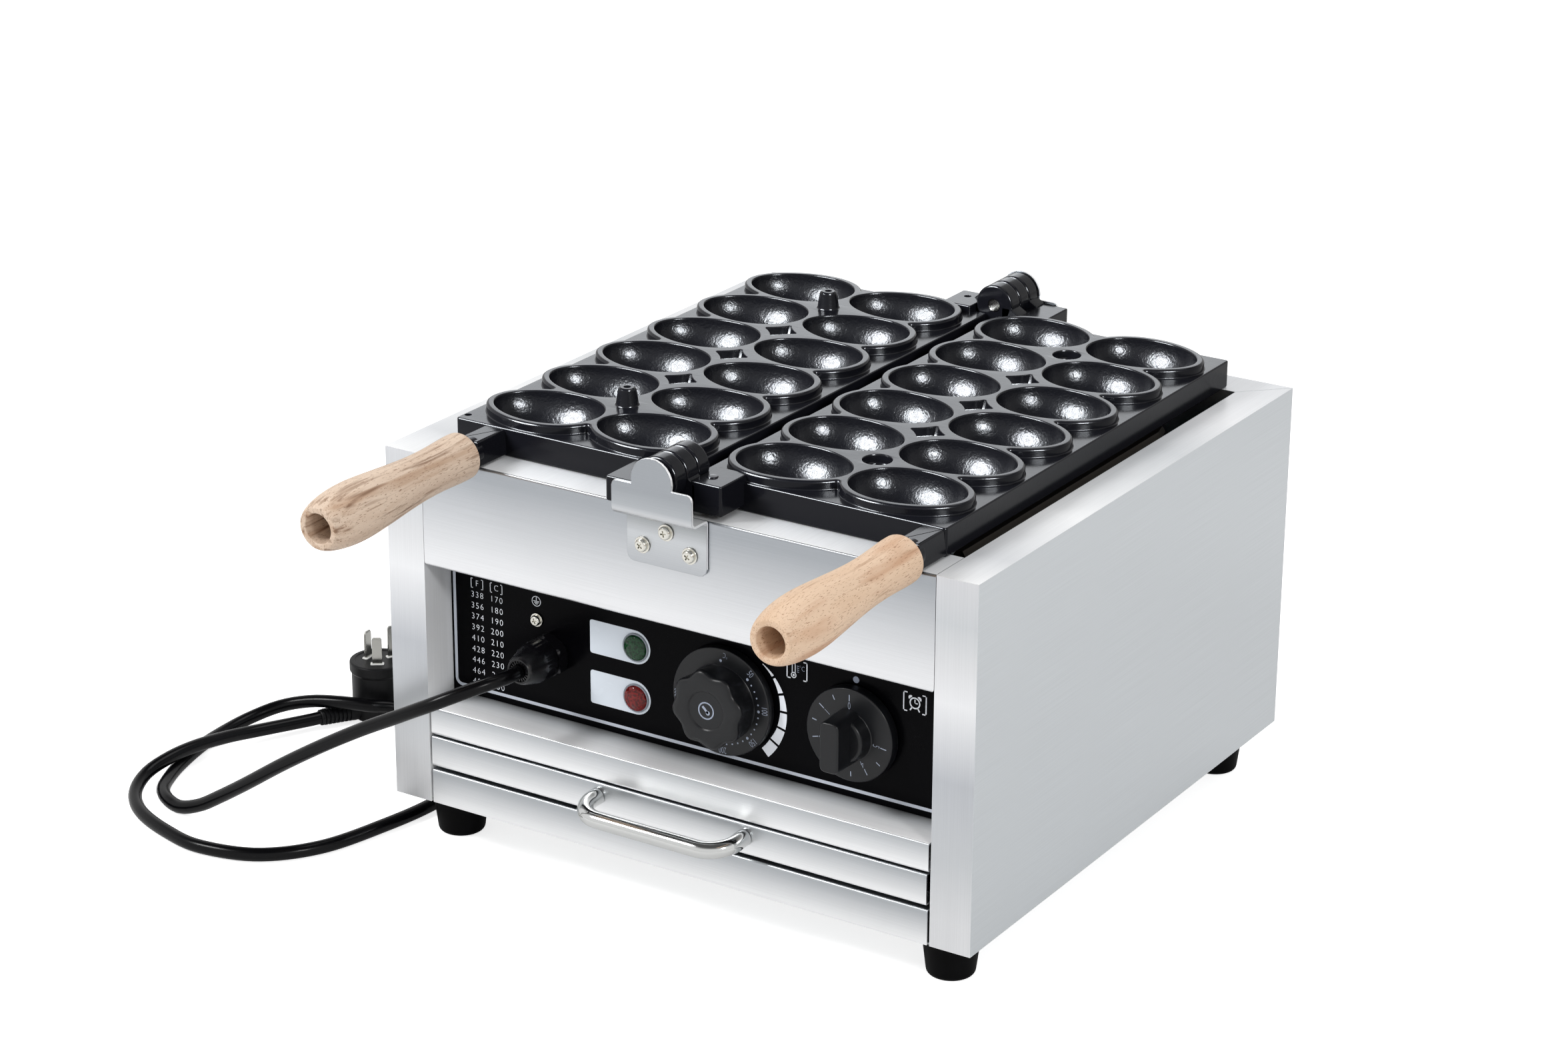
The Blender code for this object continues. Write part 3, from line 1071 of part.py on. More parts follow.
def make_knobs(machine):
    back = PANEL_SETBACK - KNOB_STANDOFF
    axis = empty("thermostat_axis", machine, (KNOB_A_X, 0, KNOB_A_Z))
    skirt_face = back - KNOB_A_SKIRT_THICK
    lie = (math.pi / 2, 0, 0)
    skirt = turned("thermostat_knob", axis, [(0, KNOB_A_SKIRT_THICK),
                                             (KNOB_A_SKIRT - EDGE, KNOB_A_SKIRT_THICK),
                                             (KNOB_A_SKIRT, KNOB_A_SKIRT_THICK - EDGE), (KNOB_A_SKIRT, 0),
                                             (0, 0)],
                   (0, back, 0), lie, sides=KNOB_SIDES)
    lobes = []
    for i in range(KNOB_A_LOBES * 5):
        angle = 2 * math.pi * i / (KNOB_A_LOBES * 5)
        radius = KNOB_A_GRIP - KNOB_A_SCALLOP * (1 + math.cos(KNOB_A_LOBES * angle)) / 2
        lobes.append((radius * math.cos(angle), radius * math.sin(angle)))
    face = PANEL_SETBACK - KNOB_A_REACH
    depth = skirt_face + EDGE - face
    grip = slab("grip", axis, lobes, depth, face + depth / 2, "y")
    grip = soften(grip, KNOB_A_SCALLOP)
    dish = rod("dish", axis, (0, face - OVERRUN, 0), OVERRUN + KNOB_A_CAP_DEPTH, KNOB_A_CAP,
               sides=ROUND_SIDES)
    bore = rod("bore", axis, (0, back + OVERRUN, 0), -(SHAFT_GRASP + OVERRUN), SHAFT_RADIUS + GAP,
               sides=SCREW_SIDES)
    dress(cut(join(skirt, grip), dish, bore), "black_plastic")

    timer = empty("timer_axis", machine, (KNOB_B_X, 0, KNOB_B_Z))
    thick = KNOB_B_SKIRT_THICK - KNOB_STANDOFF
    skirt = turned("timer_knob", timer, [(0, thick), (KNOB_B_SKIRT - EDGE, thick),
                                         (KNOB_B_SKIRT, thick - EDGE),
                                         (KNOB_B_SKIRT, 0), (0, 0)], (0, back, 0), lie, sides=KNOB_SIDES)
    boss = rod("boss", timer, (0, back, 0), -(KNOB_B_BOSS_REACH - KNOB_STANDOFF), KNOB_B_BOSS,
               sides=ROUND_SIDES)
    bar_outline = rounded(KNOB_B_BAR_HALF, -KNOB_B_BAR_LENGTH / 2, KNOB_B_BAR_LENGTH / 2, KNOB_B_BAR_HALF / 2)
    bar_depth = KNOB_B_REACH - KNOB_STANDOFF - EDGE
    bar = slab("bar", timer, bar_outline, bar_depth, back - EDGE - bar_depth / 2, "y")
    bar = soften(bar, EDGE)
    bore = rod("bore", timer, (0, back + OVERRUN, 0), -(SHAFT_GRASP + OVERRUN), SHAFT_RADIUS + GAP,
               sides=SCREW_SIDES)
    dress(cut(join(skirt, boss, bar), bore), "black_plastic")

    for name, parent, end in (("thermostat_shaft", axis, PANEL_BACK + GAP),
                              ("timer_shaft", timer, PANEL_BACK + GAP)):
        shaft = rod(name, parent, (0, back - SHAFT_GRASP + GAP, 0), end - back + SHAFT_GRASP - GAP,
                    SHAFT_RADIUS,
                    sides=SCREW_SIDES)
        dress(shaft, "zinc")


def make_controls(machine):
    """Thermostat and timer behind the panel, lamps, sensor and terminal block."""
    seat = PANEL_BACK + 2 * GAP
    body = rod("thermostat_body", machine, (KNOB_A_X, seat + GAP, KNOB_A_Z), CONTROL_A_DEPTH,
               CONTROL_A_RADIUS, sides=ROUND_SIDES)
    dress(body, "galvanised")
    outline = rounded(CONTROL_B_HALF, KNOB_B_Z - CONTROL_B_HALF, KNOB_B_Z + CONTROL_B_HALF, CONTROL_CORNER)
    outline = [(x + KNOB_B_X, z) for x, z in outline]
    timer = slab("timer_body", machine, outline, CONTROL_B_DEPTH, seat + GAP + CONTROL_B_DEPTH / 2, "y")
    dress(timer, "galvanised", smooth=False)

    for name, z, finish in (("power_lamp", LAMP_A_Z, "green_lens"), ("heat_lamp", LAMP_B_Z, "red_lens")):
        profile = [(LAMP_RADIUS * out, LAMP_RISE * up) for out, up in LENS_SHARES]
        profile += [(LAMP_RADIUS, GAP), (LAMP_BARREL, GAP), (LAMP_BARREL, -LAMP_BARREL_LENGTH),
                    (0, -LAMP_BARREL_LENGTH)]
        lamp = turned(name, machine, profile, (LAMP_X, PANEL_SETBACK, z), (math.pi / 2, 0, 0),
                      sides=ROUND_SIDES)
        dress(lamp, finish)

    wall = PARTITION_Y - SHEET - GAP
    terminal = block("terminal_block", machine, (GLAND_X - TERMINAL_LENGTH / 2, wall - TERMINAL_DEPTH,
                                                 TERMINAL_Z),
                     (GLAND_X + TERMINAL_LENGTH / 2, wall, TERMINAL_Z + TERMINAL_HEIGHT))
    dress(soften(terminal, EDGE), "black_plastic", smooth=False)

    legs = heater_legs()
    lane = (legs[1] + legs[2]) / 2
    start = (KNOB_A_X, seat + 2 * GAP + CONTROL_A_DEPTH + CAPILLARY_RADIUS, KNOB_A_Z)
    over = HEATER_Z + HEATER_RADIUS + BULB_RADIUS
    bulb_y = PARTITION_Y + HEATER_REAR * 2
    rise_y = PARTITION_Y - RAIL_RETURN - 4 * CAPILLARY_RADIUS
    way = smooth_route([start, (KNOB_A_X, rise_y, KNOB_A_Z + CAPILLARY_RISE),
                        (lane, rise_y, PARTITION_TOP - CAPILLARY_RISE), (lane, rise_y, PARTITION_TOP),
                        (lane, PARTITION_Y - RAIL_RETURN / 2, over), (lane, PARTITION_Y + RAIL_RETURN, over),
                        (lane, bulb_y, over)], CAPILLARY_STEP)
    wire = tube("thermostat_bulb", machine, way, CAPILLARY_RADIUS, 1)
    bulb = rod("bulb", machine, (lane, bulb_y - BULB_RADIUS, over), BULB_LENGTH, BULB_RADIUS,
               sides=SCREW_SIDES)
    dress(join(wire, bulb), "zinc")


def make_gland(machine):
    """Cable gland: hex body through the panel with its nut inside, and the domed clamping nut."""
    out = PANEL_SETBACK - GAP
    hexagon = rod("cable_gland", machine, (GLAND_X, out, GLAND_Z), -GLAND_HEX_LENGTH, GLAND_HEX_HALF, sides=6)
    inside = PANEL_SHEET + GLAND_LOCKNUT_LENGTH + GAP
    thread = rod("thread", machine, (GLAND_X, out - GLAND_HEX_LENGTH / 2, GLAND_Z),
                 GLAND_HEX_LENGTH / 2 + inside + GAP,
                 GLAND_THREAD_RADIUS, sides=ROUND_SIDES)
    locknut = rod("locknut", machine, (GLAND_X, PANEL_BACK + GAP, GLAND_Z), GLAND_LOCKNUT_LENGTH,
                  GLAND_HEX_HALF, sides=6)
    bore = rod("bore", machine, (GLAND_X, out - GLAND_HEX_LENGTH - OVERRUN, GLAND_Z),
               GLAND_HEX_LENGTH + inside + 4 * OVERRUN, CORD_RADIUS + GAP, sides=SMALL_SIDES)
    dress(cut(join(hexagon, thread, locknut), bore), "black_plastic", smooth=False)

    nut_y = out - GLAND_HEX_LENGTH - GAP
    length = GLAND_NUT_LENGTH
    flare = GLAND_NUT_RADIUS - GLAND_MOUTH_RADIUS
    bore_radius = CORD_RADIUS + GAP
    profile = [(GLAND_MOUTH_RADIUS - EDGE, length)]
    profile += [(GLAND_MOUTH_RADIUS + flare * mix, length * along) for along, mix in GLAND_NUT_SHARES]
    profile += [(bore_radius, 0), (bore_radius, length)]
    nut = turned("gland_nut", machine, profile, (GLAND_X, nut_y, GLAND_Z), (math.pi / 2, 0, 0),
                 sides=ROUND_SIDES, closed=True)
    dress(nut, "black_plastic")

    washer = rod("ground_screw", machine, (GROUND_X, out, GROUND_Z), -WASHER_SHEET, SCREW_HEAD_RADIUS,
                 sides=SMALL_SIDES)
    crown = rod("crown", machine, (GROUND_X, out - WASHER_SHEET / 2, GROUND_Z), -SCREW_HEAD_HEIGHT,
                SCREW_HEAD_RADIUS * CROWN_SHARE, SCREW_HEAD_RADIUS * CROWN_SHARE * CROWN_SHARE,
                sides=SMALL_SIDES)
    shank = rod("shank", machine, (GROUND_X, out - WASHER_SHEET / 2, GROUND_Z),
                PANEL_SHEET + SCREW_HEAD_HEIGHT,
                SCREW_RADIUS, sides=SCREW_SIDES)
    dress(join(washer, crown, shank), "zinc")
    return nut_y - length


def make_lead(machine, mouth):
    """The lead through the gland and over the table to the plug, which lies pins up."""
    floor = -FOOT_HEIGHT
    heading = Vector((math.cos(PLUG_HEADING), math.sin(PLUG_HEADING), 0))
    plug_base = Vector((PLUG_X, PLUG_Y, floor))
    low = RELIEF_ROOT + GAP
    relief_tip = plug_base + heading * (RELIEF_START + RELIEF_LENGTH) + Vector((0, 0, low))
    cord_end = relief_tip + heading * GAP
    straight = cord_end + heading * 2 * CORD_RADIUS
    first = (GLAND_X, mouth - GAP, GLAND_Z)
    follow_x, follow_z = GLAND_X + HALF - CORD_LEAD_IN, GLAND_Z - CORD_LEAD_UP
    laid = []
    for i, (x, y, z) in enumerate(CORD_ROUTE):
        fade = max(0, 1 - i / CORD_LEAD_POINTS)
        laid.append((x - HALF + follow_x * fade, y, z + follow_z * fade))
    route = [first, (GLAND_X, mouth - 2 * CORD_RADIUS, GLAND_Z)] + laid + [tuple(straight), tuple(cord_end)]
    cord = tube("power_cord", machine, smooth_route(route, CORD_STEP), CORD_RADIUS, CORD_SIDES)
    dress(cord, "cord_black")

    top = floor + PLUG_HEIGHT
    side = PLUG_RADIUS - PLUG_TAPER
    bevel = PLUG_FOOT_BEVEL
    profile = [(0, top), (PLUG_RADIUS - EDGE, top), (PLUG_RADIUS, top - EDGE),
               (PLUG_RADIUS, top - PLUG_FLANGE),
               (side, top - PLUG_FLANGE - EDGE), (side, floor + bevel), (side - bevel, floor), (0, floor)]
    body = turned("plug_body", machine, profile, (PLUG_X, PLUG_Y, 0), sides=ROUND_SIDES)
    lie = heading.to_track_quat("Z", "Y").to_euler()
    relief_length = RELIEF_START + RELIEF_LENGTH
    work = bmesh.new()
    bmesh.ops.create_cone(work, cap_ends=True, segments=ROUND_SIDES, radius1=RELIEF_ROOT, radius2=RELIEF_TIP,
                          depth=relief_length)
    middle = plug_base + heading * relief_length / 2 + Vector((0, 0, low))
    body = join(body, mesh_object("relief", work, machine, middle, lie))

    pins = (("plug_pin_live", PIN_ANGLE, PIN_RING, PIN_LENGTH), ("plug_pin_neutral", -PIN_ANGLE, PIN_RING,
                                                                 PIN_LENGTH),
            ("plug_pin_earth", math.pi, EARTH_RING, EARTH_LENGTH))
    slots = [flat_pin("slot", machine, *pin[1:], top, GAP) for pin in pins]
    dress(cut(body, *slots), "cord_black")
    for pin in pins:
        dress(flat_pin(*pin[:1], machine, *pin[1:], top), "pin_metal", smooth=False)


def flat_pin(name, machine, angle, ring, length, top, grow=0.0):
    """A flat pin rooted in the plug's face: the earth pin lies along its radius, the others across it."""
    across, along = (PIN_WIDTH, PIN_THICK) if length == EARTH_LENGTH else (PIN_THICK, PIN_WIDTH)
    work = bmesh.new()
    bmesh.ops.create_cube(work, size=1)
    bmesh.ops.scale(work, vec=(across + 2 * grow, along + 2 * grow, length + PIN_ROOT + grow),
                    verts=work.verts)
    heading = PLUG_HEADING + angle
    place = (PLUG_X + ring * math.cos(heading), PLUG_Y + ring * math.sin(heading),
             top + (length - PIN_ROOT - grow) / 2)
    return mesh_object(name, work, machine, place, (0, 0, heading))


def build():
    start_scene()
    machine = empty("machine", None, (0, FRONT_Y, FOOT_HEIGHT))
    make_side("side_panel_left", machine, -1)
    make_side("side_panel_right", machine, 1)
    make_rear(machine)
    make_pan(machine)
    make_feet(machine)
    make_front(machine)
    make_inside(machine)
    make_heaters(machine)
    make_bracket(machine, "hinge_bracket_front", 0, -1)
    make_bracket(machine, "hinge_bracket_rear", DEPTH, 1)
    make_pins(machine)
    for name, side in (("plate_left", -1), ("plate_right", 1)):
        make_plate(machine, name, side)
        make_handle(machine, side)
    make_drawer(machine)
    make_knobs(machine)
    make_controls(machine)
    mouth = make_gland(machine)
    make_lead(machine, mouth)


build()
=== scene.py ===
import json
import math

import bmesh
import bpy
from mathutils import Matrix, Vector
from mathutils.geometry import tessellate_polygon

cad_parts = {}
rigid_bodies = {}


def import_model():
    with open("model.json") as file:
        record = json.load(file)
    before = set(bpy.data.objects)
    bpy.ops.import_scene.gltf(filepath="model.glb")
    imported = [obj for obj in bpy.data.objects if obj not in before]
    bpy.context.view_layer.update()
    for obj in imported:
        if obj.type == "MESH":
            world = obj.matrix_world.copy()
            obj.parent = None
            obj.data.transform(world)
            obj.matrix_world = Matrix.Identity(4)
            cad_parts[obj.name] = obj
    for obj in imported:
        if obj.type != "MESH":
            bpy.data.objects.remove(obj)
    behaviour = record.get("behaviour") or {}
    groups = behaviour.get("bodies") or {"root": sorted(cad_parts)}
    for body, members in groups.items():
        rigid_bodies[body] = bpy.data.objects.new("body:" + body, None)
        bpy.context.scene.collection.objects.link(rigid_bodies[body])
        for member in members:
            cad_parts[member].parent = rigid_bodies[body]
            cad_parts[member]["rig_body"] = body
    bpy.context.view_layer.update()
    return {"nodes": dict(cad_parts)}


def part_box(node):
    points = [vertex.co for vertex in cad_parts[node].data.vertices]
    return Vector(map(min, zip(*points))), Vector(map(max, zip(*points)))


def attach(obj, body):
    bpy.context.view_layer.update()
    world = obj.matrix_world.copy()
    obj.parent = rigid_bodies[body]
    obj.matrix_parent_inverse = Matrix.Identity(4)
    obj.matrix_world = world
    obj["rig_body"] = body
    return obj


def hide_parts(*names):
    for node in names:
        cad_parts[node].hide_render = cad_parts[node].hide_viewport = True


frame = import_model()
nodes = frame["nodes"]

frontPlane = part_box("front_fascia")[0].y      # the measuring frame's y = 0, in metres
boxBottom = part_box("side_panel_left")[0].z    # and its z = 0
metre = 1000                                  # shapes are drawn in millimetres


def at(x, y, z):
    return Vector((x / metre, frontPlane + y / metre, boxBottom + z / metre))


def linear(hexCode):                          # sRGB hex to the linear colour that shaders take
    parts = [int(hexCode[i:i + 2], 16) / 255 for i in (1, 3, 5)]
    return tuple(c / 12.92 if c <= 0.04045 else ((c + 0.055) / 1.055) ** 2.4 for c in parts) + (1,)


# Node trees
def addNode(owner, kind, inputs=None, **settings):
    node = owner.node_tree.nodes.new(kind)
    for key, value in settings.items():
        setattr(node, key, value)
    for key, value in (inputs or {}).items():
        if isinstance(value, bpy.types.NodeSocket):
            owner.node_tree.links.new(value, node.inputs[key])
        else:
            node.inputs[key].default_value = value
    return node


def newMaterial(name, sockets):
    material = bpy.data.materials.new(name)
    material.use_nodes = True
    shader = material.node_tree.nodes["Principled BSDF"]
    for key, value in sockets.items():
        shader.inputs[key].default_value = value
    material.diffuse_color = sockets.get("Base Color", (0.5, 0.5, 0.5, 1))
    return material, shader


def join(material, output, shader, socket):
    material.node_tree.links.new(output, shader.inputs[socket])


def stops(ramp, places):                      # fills a colour ramp from (place, colour) pairs
    elements = ramp.color_ramp.elements
    while len(elements) < len(places):
        elements.new(0.5)
    for element, (place, colour) in zip(elements, places):
        element.position = place
        element.color = colour
    return ramp


def grey(value):
    return (value, value, value, 1)


# Shapes, all in millimetres
def newShape():
    return {"verts": [], "faces": []}


def addMesh(shape, verts, faces, matrix=None):
    start = len(shape["verts"])
    shape["verts"] += [matrix @ Vector(v) if matrix else Vector(v) for v in verts]
    shape["faces"] += [[i + start for i in face] for face in faces]


def addLoft(shape, loops, matrix=None, capStart=True, capEnd=True, closed=False):
    count = len(loops[0])
    verts = [v for loop in loops for v in loop]
    faces = []
    pairs = list(zip(range(len(loops)), range(1, len(loops)))) + ([(len(loops) - 1, 0)] if closed else [])
    for a, b in pairs:
        for i in range(count):
            j = (i + 1) % count
            faces.append((a * count + i, a * count + j, b * count + j, b * count + i))
    if capStart and not closed:
        faces.append(tuple(reversed(range(count))))
    if capEnd and not closed:
        faces.append(tuple(range((len(loops) - 1) * count, len(loops) * count)))
    addMesh(shape, verts, faces, matrix)


def facing(x, y, z, way="front", turn=0.0):   # a frame whose Z looks to the front, back or up
    turns = {"front": Matrix(((1, 0, 0), (0, 0, -1), (0, 1, 0))), "up": Matrix.Identity(3),
             "back": Matrix(((-1, 0, 0), (0, 0, 1), (0, 1, 0))),
             "down": Matrix(((1, 0, 0), (0, -1, 0), (0, 0, -1)))}
    return Matrix.Translation((x, y, z)) @ turns[way].to_4x4() @ Matrix.Rotation(turn, 4, "Z")


def filleted(points, steps=4):                # rounds the corners of (a, b, radius) points
    made = []
    for i, point in enumerate(points):
        radius = point[2] if len(point) > 2 else 0
        here = Vector(point[:2])
        if radius == 0 or i in (0, len(points) - 1):
            made.append(tuple(here))
            continue
        back = Vector(points[i - 1][:2]) - here
        ahead = Vector(points[i + 1][:2]) - here
        reach = min(radius * math.tan((math.pi - back.angle(ahead)) / 2), back.length * 0.49,
                    ahead.length * 0.49)
        start, end = here + back.normalized() * reach, here + ahead.normalized() * reach
        for k in range(steps + 1):
            t = k / steps
            made.append(tuple((1 - t) ** 2 * start + 2 * t * (1 - t) * here + t * t * end))
    return made


def filletedLoop(points, steps=4):
    ring = [points[-1]] + list(points) + [points[0]]
    return filleted(ring, steps)[1:-1]


def addTurned(shape, profile, matrix, sides=48, closed=False):
    loops = []
    for radius, height in profile:
        radius = max(radius, 0.005)
        loops.append([(radius * math.cos(2 * math.pi * i / sides), radius * math.sin(2 * math.pi * i / sides),
                       height)
                      for i in range(sides)])
    addLoft(shape, loops, matrix, closed=closed)


def offsetLoop(points, distance):             # moves a closed loop outward along its normals
    made = []
    count = len(points)
    for i in range(count):
        before, here, after = (Vector(points[k % count]) for k in (i - 1, i, i + 1))
        first, second = (here - before).normalized(), (after - here).normalized()
        normal = Vector((first.y + second.y, -first.x - second.x))
        normal.normalize()
        slant = max(0.5, normal.dot(Vector((first.y, -first.x))))
        made.append(tuple(here + normal * distance / slant))
    return made


def addSlab(shape, outline, low, high, edge, matrix=None, steps=3, lowEdge=None):
    lowEdge = edge if lowEdge is None else lowEdge
    loops = []
    for k in range(steps + 1):
        angle = math.pi / 2 * k / steps
        inset = offsetLoop(outline, -lowEdge * (1 - math.sin(angle))) if lowEdge else outline
        loops.append([(x, y, low + lowEdge * (1 - math.cos(angle))) for x, y in inset])
    for k in range(steps + 1):
        angle = math.pi / 2 * k / steps
        inset = offsetLoop(outline, -edge * (1 - math.cos(angle))) if edge else outline
        loops.append([(x, y, high - edge * (1 - math.sin(angle))) for x, y in inset])
    addLoft(shape, loops, matrix)


def box2d(x0, x1, y0, y1, corner=0.0, steps=4):
    return filletedLoop([(x0, y0, corner), (x1, y0, corner), (x1, y1, corner), (x0, y1, corner)], steps)


def addBox(shape, x0, x1, y0, y1, z0, z1, edge=0.8, corner=None, matrix=None):
    outline = box2d(min(x0, x1), max(x0, x1), y0, y1, edge if corner is None else corner, 3)
    addSlab(shape, outline, z0, z1, edge, matrix)


def addPrism(shape, outline, low, high, matrix=None):
    addLoft(shape, [[(x, y, low) for x, y in outline], [(x, y, high) for x, y in outline]], matrix)


def arcPoints(radius, first, last, steps, centre=(0, 0)):
    return [(centre[0] + radius * math.cos(math.radians(first + (last - first) * k / steps)),
             centre[1] + radius * math.sin(math.radians(first + (last - first) * k / steps)))
             for k in range(steps + 1)]


def addBand(shape, inner, outer, first, last, low, high, matrix, steps=16, centre=(0, 0)):
    if last - first >= 360:
        n = steps * 3
        loops = [[(centre[0] + r * math.cos(2 * math.pi * i / n),
                   centre[1] + r * math.sin(2 * math.pi * i / n), h)
                  for i in range(n)] for r, h in ((inner, low), (outer, low), (outer, high), (inner, high))]
        addLoft(shape, loops, matrix, closed=True)
        return
    outline = arcPoints(outer, first, last, steps, centre) + arcPoints(inner, last, first, steps, centre)
    addPrism(shape, outline, low, high, matrix)


def addStroke(shape, points, width, low, high, matrix):
    for a, b in zip(points, points[1:]):
        a, b = Vector(a), Vector(b)
        along = (b - a).normalized() * width / 2
        side = Vector((-along.y, along.x))
        addPrism(shape, [tuple(a - along - side), tuple(b + along - side), tuple(b + along + side),
                         tuple(a - along + side)], low, high, matrix)


def flatFill(shape, outer, holes, height, matrix=None, flip=False):
    loops = [[Vector((x, y, 0)) for x, y in loop] for loop in [outer] + holes]
    verts = [(v.x, v.y, height) for loop in loops for v in loop]
    faces = []
    for tri in tessellate_polygon(loops):
        a, b, c = (Vector(verts[i]) for i in tri)
        up = (b - a).cross(c - a).z > 0
        faces.append(tuple(tri) if up != flip else tuple(reversed(tri)))
    addMesh(shape, verts, faces, matrix)


def addText(shape, words, size, matrix, low, high, spacing=1.0, thin=0.016):
    curve = bpy.data.curves.new("words", "FONT")
    curve.body = words
    curve.size = size
    curve.align_x = "CENTER"
    curve.align_y = "CENTER"
    curve.extrude = (high - low) / 2
    curve.space_character = spacing
    curve.offset = -thin * size
    curve.resolution_u = 3
    holder = bpy.data.objects.new("words", curve)
    bpy.context.scene.collection.objects.link(holder)
    bpy.context.view_layer.update()
    mesh = bpy.data.meshes.new_from_object(holder.evaluated_get(bpy.context.evaluated_depsgraph_get()))
    lift = Matrix.Translation((0, 0, (low + high) / 2))
    addMesh(shape, [v.co for v in mesh.vertices], [tuple(p.vertices) for p in mesh.polygons], matrix @ lift)
    bpy.data.objects.remove(holder, do_unlink=True)
    bpy.data.curves.remove(curve)
    bpy.data.meshes.remove(mesh)


def makePiece(name, shape, material, body, replaces=(), smooth=40, weld=0.004, fix=True):
    work = bmesh.new()
    made = [work.verts.new(at(*v)) for v in shape["verts"]]
    for face in shape["faces"]:
        try:
            work.faces.new([made[i] for i in face])
        except ValueError:
            pass
    if weld:
        bmesh.ops.remove_doubles(work, verts=work.verts, dist=weld / metre)
    if fix:
        bmesh.ops.recalc_face_normals(work, faces=work.faces)
    mesh = bpy.data.meshes.new(name)
    work.to_mesh(mesh)
    work.free()
    piece = bpy.data.objects.new(name, mesh)
    bpy.context.scene.collection.objects.link(piece)
    mesh.materials.append(material)
    if smooth:
        mesh.shade_smooth()
        mesh.set_sharp_from_angle(angle=math.radians(smooth))
        weighted = piece.modifiers.new("normals", "WEIGHTED_NORMAL")
        weighted.keep_sharp = True
    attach(piece, body)
    if replaces:
        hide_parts(*replaces)
    return piece


def softenedCopy(name, node, width, material, others=(), angle=40, segments=2):
    work = bmesh.new()
    work.from_mesh(nodes[node].data)
    bmesh.ops.remove_doubles(work, verts=work.verts, dist=0.00001)
    bmesh.ops.dissolve_limit(work, angle_limit=math.radians(0.5), verts=work.verts, edges=work.edges)
    sharp = [e for e in work.edges if len(e.link_faces) == 2 and e.calc_face_angle(0) > math.radians(angle)]
    bmesh.ops.bevel(work, geom=sharp, offset=width / metre, segments=segments, affect="EDGES", profile=0.5,
                    clamp_overlap=True)
    for face in work.faces:
        face.material_index = 0
        for number, (way, finish) in enumerate(others):
            if face.normal.dot(Vector(way)) > 0.8:
                face.material_index = number + 1
    mesh = bpy.data.meshes.new(name)
    work.to_mesh(mesh)
    work.free()
    piece = bpy.data.objects.new(name, mesh)
    bpy.context.scene.collection.objects.link(piece)
    for finish in [material] + [finish for way, finish in others]:
        mesh.materials.append(finish)
    mesh.shade_smooth()
    mesh.set_sharp_from_angle(angle=math.radians(50))
    weighted = piece.modifiers.new("normals", "WEIGHTED_NORMAL")
    weighted.keep_sharp = True
    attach(piece, nodes[node]["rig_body"])
    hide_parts(node)
    return piece


def smoothLine(points, step):                 # even points on a smooth curve through the route
    ways = [Vector(p) for p in points]
    ways = [2 * ways[0] - ways[1]] + ways + [2 * ways[-1] - ways[-2]]
    fine = []
    for a, b, c, d in zip(ways, ways[1:], ways[2:], ways[3:]):
        for k in range(24):
            t = k / 24
            fine.append(0.5 * (2 * b + (c - a) * t + (2 * a - 5 * b + 4 * c - d) * t * t
                               + (3 * b - a - 3 * c + d) * t ** 3))
    fine.append(ways[-2])
    total = sum((q - p).length for p, q in zip(fine, fine[1:]))
    spacing = total / max(2, round(total / step))
    even, travelled = [fine[0]], 0.0
    for p, q in zip(fine, fine[1:]):
        stretch = (q - p).length
        while travelled + stretch >= spacing * len(even) and len(even) < round(total / spacing):
            even.append(p.lerp(q, (spacing * len(even) - travelled) / stretch))
        travelled += stretch
    return even + [fine[-1]]


# Finishes
def coordinates(material, scale, turn=(0, 0, 0)):
    where = addNode(material, "ShaderNodeTexCoord").outputs["Object"]
    return addNode(material, "ShaderNodeMapping",
                   {"Vector": where, "Scale": scale, "Rotation": turn}).outputs[0]


# Stainless steel 430, rolled and brushed: a soft satin with fine lines along the grain
# The light and dark pairs are painted reflection and shade for the front sheets: lighter at the bottom, darker at
# the top. side is one even tone.
steelLook = {
    "light": "#FAFBFC", "dark": "#B6BABE", "side": "#D4D8DB", "fasciaPaintedSheen": "#E9EAEC",
    "fasciaPaintedShade": "#A8ACB1",
    # grain in mm, drawn coarser than real to show
    "roughness": 0.30, "grainWidth": 0.5, "grainLength": 90,
}


